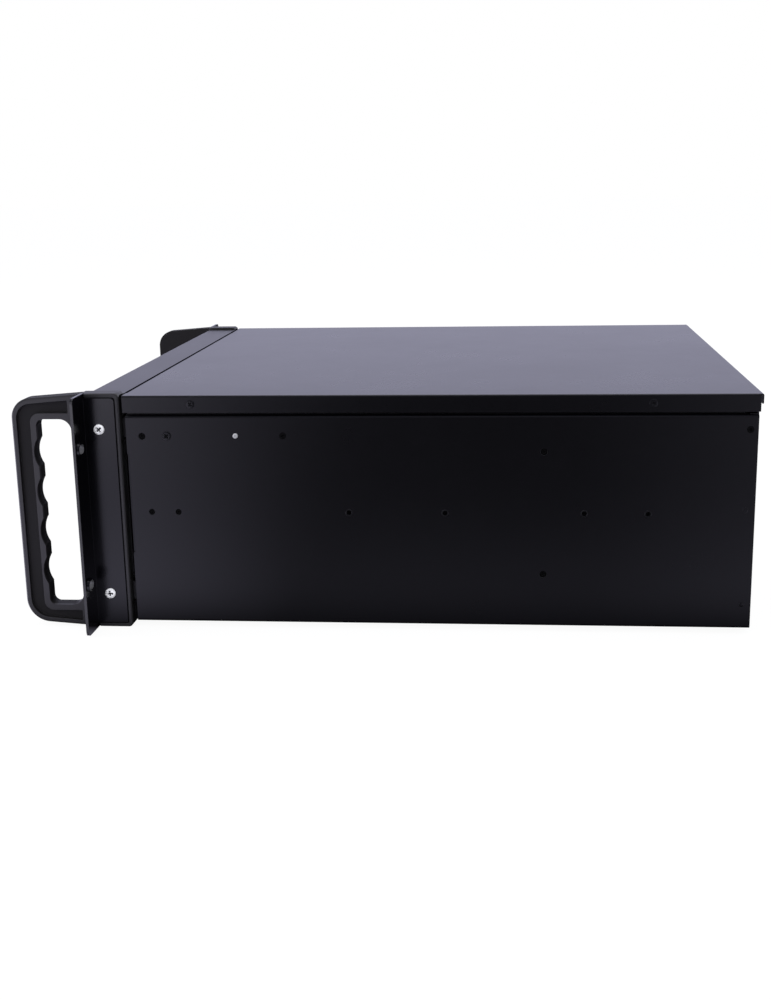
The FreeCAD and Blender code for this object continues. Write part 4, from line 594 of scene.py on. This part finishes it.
addWallFasteners()


# dark matte strip along the cover's front edge: painted shade that makes the seam behind the panel show dark

frontSeamShade = {"half": 202.4, "front": 28.45, "rear": 30.7, "low": 172.0, "high": 175.57, "edge": 0.05,
             "thick": 0.12, "rib": (29.3, 29.95), "ribDrop": 0.06}


def addFrontSeamShade():
    look = frontSeamShade
    half, high = look["half"], look["high"]
    ribFront, ribRear = look["rib"]
    shape = bmesh.new()
    brick(shape, (-half, look["front"], high - look["thick"]), (half, look["rear"], high), look["edge"])
    brick(shape, (-half, ribFront, look["low"]), (half, ribRear, high - look["ribDrop"]), look["edge"])
    piece("cover_front_seam_shade", shape, "filter_foam", "lid", look="seam_shade_matte")


addFrontSeamShade()


# drawn collars behind the rack slots, and in each slot a lighter lining, a painted highlight where the slot's
# rim catches light

slotCollar = {"length": 10.5, "height": 6.8, "wall": 1.3, "depth": 1.8, "fromEdge": 8.75, "spacing": 101.6,
              "earThick": 2.0, "taper": 0.6, "lining": 0.15, "liningInset": 0.1}


def stadium(length, height, level, steps=12):
    reach, radius = (length - height) / 2, height / 2
    points = []
    for centre, start in ((reach, -90.0), (-reach, 90.0)):
        for step in range(steps + 1):
            angle = math.radians(start + 180.0 * step / steps)
            points.append((centre + radius * math.cos(angle), level, radius * math.sin(angle)))
    return points


def sleeve(shape, rings, middle):
    # closed sleeve through its rings, each joined to the next and the last to the first
    loops = [[shape.verts.new(Vector(point) + middle) for point in ring] for ring in rings]
    for inner, outer in zip(loops, loops[1:] + loops[:1]):
        joinLoops(shape, inner, outer)


def addSlotCollars():
    look = slotCollar
    low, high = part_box("rack_ear_right")
    length, height = look["length"], look["height"]
    front, rear = look["earThick"], look["earThick"] + look["depth"]
    wide, thin = 2 * look["wall"], -2 * look["lining"]
    inset = look["liningInset"]
    # (growth over the slot, distance behind the panel's front) of each ring
    collar = ((0.0, front), (wide, front), (wide - look["taper"], rear), (0.0, rear))
    lining = ((0.0, inset), (0.0, rear - inset), (thin, rear - inset), (thin, inset))
    collars, linings = bmesh.new(), bmesh.new()
    for side in (-1, 1):
        for rise in (-look["spacing"] / 2, look["spacing"] / 2):
            middle = Vector((side * (high.x / mm - look["fromEdge"]), 0.0, (low.z + high.z) / 2 / mm + rise))
            for shape, profile in ((collars, collar), (linings, lining)):
                rings = [stadium(length + growth, height + growth, level) for growth, level in profile]
                sleeve(shape, rings, middle)
    piece("slot_collars", collars, "black_paint", look="ear_paint")
    # painted highlight inside each slot
    piece("slot_highlight_linings", linings, "black_paint", look="slot_highlight_paint")


addSlotCollars()
print("side fasteners and slot collars added")


# rear panel: screws round the fans, the power supply, the panel's edges and the card covers

rearScrews = {
    "caseScrew": {"radius": 3.0, "height": 1.6, "arm": 1.6, "slot": 0.45, "deep": 1.0, "crown": panCrown},
    "smallScrew": {"radius": 2.3, "height": 1.1, "arm": 1.2, "slot": 0.35, "deep": 0.7, "crown": panCrown},
    "fanSpan": 35.75, "fanMiddles": ((67.4, 107.2), (-14.6, 107.2)),
    "edgePlaces": ((-207.5, 30.0), (-207.5, 140.0), (209.0, 30.0), (209.0, 140.0), (-100.0, 166.0),
                   (20.0, 166.0), (140.0, 166.0)),
    "panelTurn": 17.0,  # each screw stands at another angle
    "cardFirst": -76.25, "cardPitch": -20.32, "cardCount": 7, "cardLedge": (473.2, 118.5), "cardTurn": 23.0,
    "supplyCorners": ((122.3, 9.2), (203.3, 9.2), (122.3, 152.2), (203.3, 152.2)), "cornerTurn": 31.0,
    "supplyFan": (162.8, 111.7), "supplyFanSpan": 34.3, "supplyFanTurns": (-42.0, 18.0, -18.0, 42.0),
}


def cornersRound(middle, span):
    return [(middle[0] + span * side, middle[1] + span * up) for side in (-1, 1) for up in (-1, 1)]


def addRearScrews():
    look = rearScrews
    back, up = (0, 1, 0), (0, 0, 1)
    face = behindFront(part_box("rear_panel")[1].y)
    supplyFace = behindFront(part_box("psu_case")[1].y)
    panel = [corner for middle in look["fanMiddles"] for corner in cornersRound(middle, look["fanSpan"])]
    panel += look["edgePlaces"]
    places = [facing((x, face, z), back, look["panelTurn"] * index) for index, (x, z) in enumerate(panel)]
    for index in range(look["cardCount"]):
        x = look["cardFirst"] + look["cardPitch"] * index
        places.append(facing((x, *look["cardLedge"]), up, look["cardTurn"] * index))
    fasten("rear_screws", crossHead(look["caseScrew"]), places, "zinc_steel")
    small = [facing((x, face, z), back, look["cornerTurn"] * index)
             for index, (x, z) in enumerate(look["supplyCorners"])]
    fan = cornersRound(look["supplyFan"], look["supplyFanSpan"])
    small += [facing((x, supplyFace, z), back, turn) for (x, z), turn in zip(fan, look["supplyFanTurns"])]
    fasten("supply_screws", crossHead(look["smallScrew"]), small, "zinc_steel")


addRearScrews()


# folded ends that close the step under the cover at the back

stepEnds = {"low": (207.0, 480.5, 160.8), "high": (213.8, 481.7, 172.6), "edge": 0.3, "segments": 2,
            "footDeep": 5.0, "footThick": 0.9}


def addStepEnds():
    look = stepEnds
    shape = bmesh.new()
    (x0, y0, z0), (x1, y1, z1) = look["low"], look["high"]
    for side in (-1, 1):
        left, right = sorted((side * x0, side * x1))
        for front, top in ((y0, z1), (y0 - look["footDeep"], z0 + look["footThick"])):
            brick(shape, (left, front, z0), (right, y1, top), look["edge"], look["segments"])
    piece("step_ends", shape, "black_paint")


addStepEnds()


# what shows inside the rear ports: (left edge, width, height, kind)

rearPorts = {
    "sill": 15.3, "face": 481.7, "deep": 9.0,
    "ports": ((73.5, 15.0, 32.0, "flatTongues"), (50.5, 17.0, 14.0, "pins"),
              (29.5, 15.0, 30.0, "flatTongues"), (7.0, 16.5, 30.0, "wires"), (-30.0, 31.0, 12.5, "pins"),
              (-49.0, 13.0, 33.0, "jacks")),
    "tonguePitch": 7.4, "tongueSpare": 2.0, "tongueThick": 1.8, "tongueInset": 2.2, "tongueSink": 1.0,
    "tongueEdge": 0.3, "leafInset": 1.2, "leafHalf": 0.35, "leafStart": 1.0, "leafSink": 0.3, "leafEdge": 0.1,
    "pinPitch": 2.3, "pinSpare": 8.0, "pinHalf": 0.35, "pinShift": 0.4, "pinStart": 2.9, "pinSink": 2.5,
    "pinEdge": 0.15, "wideFrom": 20.0, "blockInset": 2.4, "blockDeep": 3.0, "blockEdge": 0.4,
    # network port over two flat ones: (side inset, low, high, sink at the face) of each shelf
    "shelves": ((1.3, 13.4, 15.4, 0.4), (2.2, 4.0, 5.8, 1.0), (2.2, 9.6, 11.0, 1.0)), "shelfEdge": 0.3,
    "backWall": (1.3, 15.2, 1.0, 0.2),  # inset, rise, thickness and edge
    "wireCount": 8, "wirePitch": 1.1, "wireHalf": 0.22, "wireRise": (26.0, 26.6), "wireStart": 0.9,
    "wireSink": 2.0, "wireEdge": 0.1,
    "jackCount": 3, "jackPitch": 11.0, "jackSink": 0.9, "jackSteps": 28,
    "jack": ((1.8, -8.0), (4.6, -8.0), (4.6, 0.5), (4.2, 0.9), (2.2, 0.9), (1.8, 0.5), (1.8, -8.0)),
}
portFace, portBack, portLow = rearPorts["face"], rearPorts["face"] - rearPorts["deep"], rearPorts["sill"]


def addTongues(plastic, metal, left, width, height):
    look = rearPorts
    count = int((height - look["tongueSpare"]) / look["tonguePitch"])
    step = height / count
    inset, leafInset, leafHalf = look["tongueInset"], look["leafInset"], look["leafHalf"]
    for index in range(count):
        z = portLow + step * (index + 0.5)
        brick(plastic, (left + inset, portBack, z),
              (left + width - inset, portFace - look["tongueSink"], z + look["tongueThick"]),
              look["tongueEdge"])
        if index:  # a metal leaf parts each tongue from the one below
            brick(metal, (left + leafInset, portBack + look["leafStart"], z - step / 2 - leafHalf),
                  (left + width - leafInset, portFace - look["leafSink"], z - step / 2 + leafHalf),
                  look["leafEdge"])


def addPins(plastic, metal, left, width, height):
    look = rearPorts
    inset, half, pitch = look["blockInset"], look["pinHalf"], look["pinPitch"]
    brick(plastic, (left + inset, portBack, portLow + inset),
          (left + width - inset, portBack + look["blockDeep"], portLow + height - inset), look["blockEdge"])
    columns = int((width - look["pinSpare"]) / pitch)
    rows = 3 if width > look["wideFrom"] else 2
    for row in range(rows):
        for column in range(columns):
            x = left + width / 2 + (column - (columns - 1) / 2 + (row % 2) * look["pinShift"]) * pitch
            z = portLow + height / 2 + (row - (rows - 1) / 2) * pitch
            brick(metal, (x - half, portBack + look["pinStart"], z - half),
                  (x + half, portFace - look["pinSink"], z + half), look["pinEdge"])


def addWires(plastic, metal, left, width, height):
    look = rearPorts
    (over, *under), (inset, rise, thick, edge) = look["shelves"], look["backWall"]

    def shelf(side, low, high, sink):
        brick(plastic, (left + side, portBack, portLow + low),
              (left + width - side, portFace - sink, portLow + high), look["shelfEdge"])

    shelf(*over)
    brick(plastic, (left + inset, portBack, portLow + rise),
          (left + width - inset, portBack + thick, portLow + height - inset), edge)
    for row in under:
        shelf(*row)
    low, high = look["wireRise"]
    for index in range(look["wireCount"]):
        x = left + width / 2 + (index - (look["wireCount"] - 1) / 2) * look["wirePitch"]
        brick(metal, (x - look["wireHalf"], portBack + look["wireStart"], portLow + low),
              (x + look["wireHalf"], portFace - look["wireSink"], portLow + high), look["wireEdge"])


def addPortDetails():
    look = rearPorts
    makers = {"flatTongues": addTongues, "pins": addPins, "wires": addWires}
    plastic, metal, jacks = bmesh.new(), bmesh.new(), []
    for left, width, height, kind in look["ports"]:
        if kind in makers:
            makers[kind](plastic, metal, left, width, height)
            continue
        for index in range(look["jackCount"]):
            z = portLow + height / 2 + (index - 1) * look["jackPitch"]
            jacks.append(facing((left + width / 2, portFace - look["jackSink"], z), (0, 1, 0)))
    piece("port_tongues", plastic, "connector_plastic")
    piece("port_contacts", metal, "brass")
    fasten("sound_jacks", turnedPart(look["jack"], look["jackSteps"]), jacks, "connector_plastic")


addPortDetails()
print("rear screws and port details added")


# main board: parts that show when the cover is lifted

boardParts = {
    "top": 15.3,
    "can": ((0.0, 0.0), (4.0, 0.0), (4.0, 0.9), (3.75, 1.3), (4.0, 1.7), (4.0, 10.6), (3.7, 11.0),
            (3.2, 11.0), (3.0, 10.7), (0.0, 10.7)),
    "canSteps": 24,
    "cans": [(-30.0 + 12.0 * index, 416.0) for index in range(7)]
            + [(56.0 + 10.0 * index, 305.0) for index in range(4)]
            + [(-62.0, 300.0), (-62.0, 288.0), (-150.0, 330.0), (-162.0, 330.0)],
    "chokes": [(-24.0 + 13.0 * index, 431.0) for index in range(6)] + [(60.0, 325.0), (60.0, 340.0)],
    # (half width, half depth, low, high, edge, segments) of a choke's block and of its tabs
    "chokeBlocks": ((5.0, 5.0, 0.6, 8.0, 1.0, 2), (5.4, 2.0, 0.0, 1.2, 0.2, 1)),
    "chips": ((-62.0, 262.0, 14.0, 14.0), (-90.0, 326.0, 9.0, 7.0), (-180.0, 300.0, 12.0, 12.0),
              (10.0, 448.0, 9.0, 9.0), (44.0, 447.0, 7.0, 6.0), (72.0, 375.0, 8.0, 6.0),
              (72.0, 390.0, 8.0, 6.0), (-150.0, 262.0, 10.0, 10.0)),
    "chipRise": (0.2, 1.6), "chipEdge": 0.25,
    "legPitch": 1.27, "legInset": 1.0, "legHalf": (0.2, 0.6), "legRise": 0.7, "legOut": 0.5, "legEdge": 0.08,
    "drivePorts": [(-196.0 + 19.0 * index, 241.0) for index in range(4)],
    # (left, front, right, rear, high, edge) of the four walls and the tongue of a drive port
    "drivePortWalls": ((-8.0, -4.0, 8.0, -2.8, 8.5, 0.2), (-8.0, 2.8, 8.0, 4.0, 8.5, 0.2),
                       (-8.0, -3.2, -6.8, 3.2, 8.5, 0.2), (6.8, -3.2, 8.0, 3.2, 8.5, 0.2),
                       (-5.0, -0.7, 5.0, 0.7, 7.0, 0.15)),
    "headers": ((-110.0, 240.0, 10), (-70.0, 240.0, 5), (-45.0, 240.0, 5), (-30.0, 240.0, 5),
                (70.0, 320.0, 4), (-58.0, 441.0, 4)),  # with the number of pins in each row
    "headerRise": 2.5, "headerEdge": 0.3,
    "pinPitch": 2.54, "pinHalf": 0.3, "pinRise": (2.4, 8.5), "pinEdge": 0.1,
    "cell": ((0.0, 0.0), (11.5, 0.0), (11.5, 3.2), (10.4, 3.2), (10.4, 4.6), (9.6, 5.0), (0.0, 5.0)),
    "cellPlace": (-52.0, 324.0), "cellSteps": 40,
    "screw": {"radius": 2.9, "height": 1.5, "arm": 1.6, "slot": 0.45, "deep": 1.0, "crown": panCrown},
    "screwPlaces": ((-197.5, 244.9), (-55.0, 356.9), (87.5, 356.9), (-197.5, 468.9), (-55.0, 468.9)),
    "screwTurn": 29.0,
}


def addBoardParts():
    look = boardParts
    top = look["top"]
    up = (0, 0, 1)
    cans = [facing((x, y, top), up) for x, y in look["cans"]]
    fasten("board_capacitors", turnedPart(look["can"], look["canSteps"]), cans, "aluminium")
    chokes = bmesh.new()
    for x, y in look["chokes"]:
        for wide, long, low, high, edge, segments in look["chokeBlocks"]:
            brick(chokes, (x - wide, y - long, top + low), (x + wide, y + long, top + high), edge, segments)
    piece("board_chokes", chokes, "connector_plastic")

    chips, legs = bmesh.new(), bmesh.new()
    low, high = look["chipRise"]
    legX, legY = look["legHalf"]
    for x, y, width, depth in look["chips"]:
        brick(chips, (x - width / 2, y - depth / 2, top + low), (x + width / 2, y + depth / 2, top + high),
              look["chipEdge"])
        for index in range(int((width - look["legInset"]) / look["legPitch"])):
            leg = x - width / 2 + look["legInset"] + index * look["legPitch"]
            for side in (-1, 1):
                end = y + side * (depth / 2 + look["legOut"])
                brick(legs, (leg - legX, end - legY, top), (leg + legX, end + legY, top + look["legRise"]),
                      look["legEdge"])
    piece("board_chips", chips, "connector_plastic")

    ports, pins = bmesh.new(), bmesh.new()
    for x, y in look["drivePorts"]:
        for left, front, right, rear, rise, edge in look["drivePortWalls"]:
            brick(ports, (x + left, y + front, top), (x + right, y + rear, top + rise), edge)
    pitch, half = look["pinPitch"], look["pinHalf"]
    low, high = look["pinRise"]
    for x, y, count in look["headers"]:
        run = count * pitch
        brick(ports, (x - run / 2, y - pitch, top), (x + run / 2, y + pitch, top + look["headerRise"]),
              look["headerEdge"])
        for index in range(count):
            for row in (-0.5, 0.5):
                px, py = x - run / 2 + (index + 0.5) * pitch, y + row * pitch
                brick(pins, (px - half, py - half, top + low), (px + half, py + half, top + high),
                      look["pinEdge"])
    piece("board_sockets", ports, "connector_plastic")
    piece("board_pins", pins, "brass")
    piece("board_chip_legs", legs, "port_steel")

    cell = [facing((*look["cellPlace"], top), up)]
    fasten("clock_cell", turnedPart(look["cell"], look["cellSteps"]), cell, "aluminium")
    screws = [facing((x, y, top), up, look["screwTurn"] * index)
              for index, (x, y) in enumerate(look["screwPlaces"])]
    fasten("board_screws", crossHead(look["screw"]), screws, "zinc_steel")


addBoardParts()


# memory chips on both faces of each module, and connectors at the back of the hard drives

memoryChips = {"size": (11.0, 1.0, 9.5), "count": 8, "pitch": 15.2, "middleX": 24.0, "rise": 17.5,
               "thick": 1.3, "edge": 0.2}


def addMemoryChips():
    look = memoryChips
    low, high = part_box("memory_modules")
    thick = look["thick"]
    rows = [behindFront(low.y) + thick / 2, behindFront(high.y) - thick / 2]
    z = low.z / mm + look["rise"]
    width, depth, height = look["size"]
    shape = bmesh.new()
    for y in rows:
        for side in (-1, 1):
            for index in range(look["count"]):
                x = look["middleX"] + (index - (look["count"] - 1) / 2) * look["pitch"]
                out = y + side * (thick / 2 + depth / 2)
                brick(shape, (x - width / 2, out - depth / 2, z - height / 2),
                      (x + width / 2, out + depth / 2, z + height / 2), look["edge"])
    piece("memory_chips", shape, "connector_plastic")


driveConnectors = {
    "rise": 3.0, "count": 4, "pitch": 34.0, "edge": 0.2,
    # (left, right, low, high, reach) of the sill, the two cheeks and the two tongues
    "bars": ((-17.0, 17.0, 0.0, 1.2, 3.0), (-17.0, -15.6, 0.0, 5.5, 3.0), (15.6, 17.0, 0.0, 5.5, 3.0),
             (-12.0, 3.0, 2.4, 3.6, 4.0), (5.0, 13.0, 2.4, 3.6, 4.0)),
}


def addDriveConnectors():
    look = driveConnectors
    low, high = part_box("hard_drives")
    x = (low.x + high.x) / 2 / mm
    y = behindFront(high.y)
    shape = bmesh.new()
    for index in range(look["count"]):
        z = low.z / mm + look["rise"] + index * look["pitch"]
        for left, right, bottom, top, reach in look["bars"]:
            brick(shape, (x + left, y, z + bottom), (x + right, y + reach, z + top), look["edge"])
    piece("drive_connectors", shape, "connector_plastic")


addMemoryChips()
addDriveConnectors()
print("board, memory and drive details added")


# studio

camera = {"place": (1.149914, 0.096813, 0.327909), "turn": (76.2990, 1.0755, 95.3796), "lens": 48.218,
          "sensor": 36.0, "nearest": 0.02}


def addCamera():
    data = bpy.data.cameras.new("photo_camera")
    data.lens = camera["lens"]
    data.sensor_width = camera["sensor"]
    data.clip_start = camera["nearest"]
    eye = bpy.data.objects.new("photo_camera", data)
    eye.location = camera["place"]
    eye.rotation_euler = Euler([math.radians(angle) for angle in camera["turn"]], "XYZ")
    bpy.context.scene.collection.objects.link(eye)
    bpy.context.scene.camera = eye


white = (1.0, 1.0, 1.0)
# backdropFade and cameraSide give the level from low to high up, for what the finishes mirror
backdrop = {"fill": (0.93, 0.94, 1.0), "fillStrength": 0.45, "cameraFill": 2.0, "cameraTurn": (-0.2, 0.6),
            "mirrored": (0.865, 0.86, 1.125), "backdropFade": (0.125, 0.165, 1.09, 0.86),
            "cameraSide": (0.05, 0.40, 0.03, 0.55)}


def seenDirectly(tree):
    # what the camera or a lens looks at, and what a glossy surface mirrors
    path = tree.nodes.new("ShaderNodeLightPath")
    seen = maths(tree, "MAXIMUM", path.outputs["Is Camera Ray"], path.outputs["Is Transmission Ray"])
    return seen, path.outputs["Is Glossy Ray"]


def addWorld():
    world = bpy.data.worlds.new("studio")
    bpy.context.scene.world = world
    world.use_nodes = True
    tree = world.node_tree
    tree.nodes.clear()

    def glow(colour, strength):
        node = tree.nodes.new("ShaderNodeBackground")
        node.inputs["Color"].default_value = (*colour, 1.0)
        if isinstance(strength, float):
            node.inputs["Strength"].default_value = strength
        else:
            tree.links.new(strength, node.inputs["Strength"])
        return node.outputs[0]

    def mix(mask, first, second):
        node = tree.nodes.new("ShaderNodeMixShader")
        for socket, value in zip(node.inputs, (mask, first, second)):
            tree.links.new(value, socket)
        return node.outputs[0]

    seen, mirrored = seenDirectly(tree)
    way = axes(tree, surfacePlace(tree, "Generated"))
    toCamera = ranged(tree, way["X"], *backdrop["cameraTurn"])
    fill = mix(toCamera, glow(backdrop["fill"], backdrop["fillStrength"]),
               glow(backdrop["fill"], backdrop["cameraFill"]))
    lit = mix(seen, fill, glow(white, 1.0))
    # the backdrop is lightest just over the floor; towards the camera it is dark there and lighter overhead
    bright = glow(backdrop["mirrored"], ranged(tree, way["Z"], *backdrop["backdropFade"]))
    dim = glow(backdrop["mirrored"], ranged(tree, way["Z"], *backdrop["cameraSide"]))
    lit = mix(mirrored, lit, mix(toCamera, bright, dim))
    tree.links.new(lit, tree.nodes.new("ShaderNodeOutputWorld").inputs["Surface"])


paleFloor = {"size": 30.0, "drop": 0.0002, "colour": (0.06, 0.06, 0.06), "rough": 0.9, "glow": 0.94,
             "tint": (0.95, 0.92, 1.2), "fanFrom": (-0.75, 0.10), "front": (-0.173, -0.300, 0.0, 1.66),
             "rear": (0.06, 0.263, 0.0, 0.68), "near": (0.35, 0.60, 0.42, 0.0),
             "underX": (0.215, 0.305), "underY": (0.27, 0.31)}


def mirroredFloor(tree):
    # painted light for what the finishes mirror: for glossy rays the floor glows brighter before the front
    # and behind the rear than beside the middle, in bands that fan out from a point on the far side of the
    # case
    place = axes(tree, surfacePlace(tree))
    beside = maths(tree, "ABSOLUTE", place["X"])
    fanX, fanY = paleFloor["fanFrom"]
    slope = maths(tree, "DIVIDE", maths(tree, "SUBTRACT", place["Y"], fanY),
                  maths(tree, "SUBTRACT", beside, fanX))
    level = maths(tree, "ADD", ranged(tree, slope, *paleFloor["front"]),
                  ranged(tree, slope, *paleFloor["rear"]))
    level = maths(tree, "ADD", level, ranged(tree, beside, *paleFloor["near"]))
    # and it stays dark under the case: a painted shadow of the case
    clear = maths(tree, "MAXIMUM", ranged(tree, beside, *paleFloor["underX"]),
                  ranged(tree, maths(tree, "ABSOLUTE", place["Y"]), *paleFloor["underY"]))
    return maths(tree, "MULTIPLY", level, clear)


def addFloor():
    half = paleFloor["size"] / 2
    mesh = bpy.data.meshes.new("floor")
    corners = [(-half, -half, 0), (half, -half, 0), (half, half, 0), (-half, half, 0)]
    mesh.from_pydata(corners, [], [(0, 1, 2, 3)])
    floor = bpy.data.objects.new("floor", mesh)
    floor.location.z = cadLow.z - paleFloor["drop"]
    bpy.context.scene.collection.objects.link(floor)
    mat = bpy.data.materials.new("pale_floor")
    mat.use_nodes = True
    tree = mat.node_tree
    shader = tree.nodes["Principled BSDF"]
    shader.inputs["Base Color"].default_value = (*paleFloor["colour"], 1.0)
    shader.inputs["Roughness"].default_value = paleFloor["rough"]
    shader.inputs["Specular IOR Level"].default_value = 0.0
    glow = tree.nodes.new("ShaderNodeEmission")
    seen, mirrored = seenDirectly(tree)
    strength = shares(tree, seen, paleFloor["glow"], mirrored, mirroredFloor(tree))
    tree.links.new(strength, glow.inputs["Strength"])
    tree.links.new(blended(tree, mirrored, white, paleFloor["tint"]), glow.inputs["Color"])
    both = tree.nodes.new("ShaderNodeAddShader")
    tree.links.new(shader.outputs[0], both.inputs[0])
    tree.links.new(glow.outputs[0], both.inputs[1])
    tree.links.new(both.outputs[0], tree.nodes["Material Output"].inputs["Surface"])
    mesh.materials.append(mat)


lamps = {
    "overhead_softbox": {"place": (-0.3, 0.1, 2.2), "aim": (0.0, 0.0, 0.1), "size": 1.6, "power": 22.0},
    "rear_softbox": {"place": (-1.2, 1.6, 1.2), "aim": (0.0, 0.1, 0.1), "size": 1.2, "power": 16.0},
    "front_softbox": {"place": (0.4, -1.8, 0.9), "aim": (0.05, -0.2, 0.08), "size": 1.0, "power": 18.0,
                      "mirrored": False},
    "front_card": {"place": (1.0, -0.55, 0.14), "aim": (0.214, -0.17, 0.09), "size": 0.28, "power": 0.5,
                   "colour": (0.94, 0.92, 1.0)},
    "rear_card": {"place": (1.0, 0.58, 0.14), "aim": (0.214, 0.26, 0.09), "size": 0.28, "power": 0.2,
                  "colour": (0.94, 0.92, 1.0)},
}


def addLamps():
    for name, look in lamps.items():
        data = bpy.data.lights.new(name, "AREA")
        data.size = look["size"]
        data.energy = look["power"]
        data.color = look.get("colour", white)
        lamp = bpy.data.objects.new(name, data)
        lamp.visible_camera = False
        lamp.visible_glossy = look.get("mirrored", True)
        lamp.location = look["place"]
        aim = Vector(look["aim"]) - Vector(look["place"])
        lamp.rotation_euler = aim.to_track_quat("-Z", "Y").to_euler()
        bpy.context.scene.collection.objects.link(lamp)


addCamera()
addWorld()
addFloor()
addLamps()
bpy.context.scene.view_settings.view_transform = "Standard"
print("studio set")
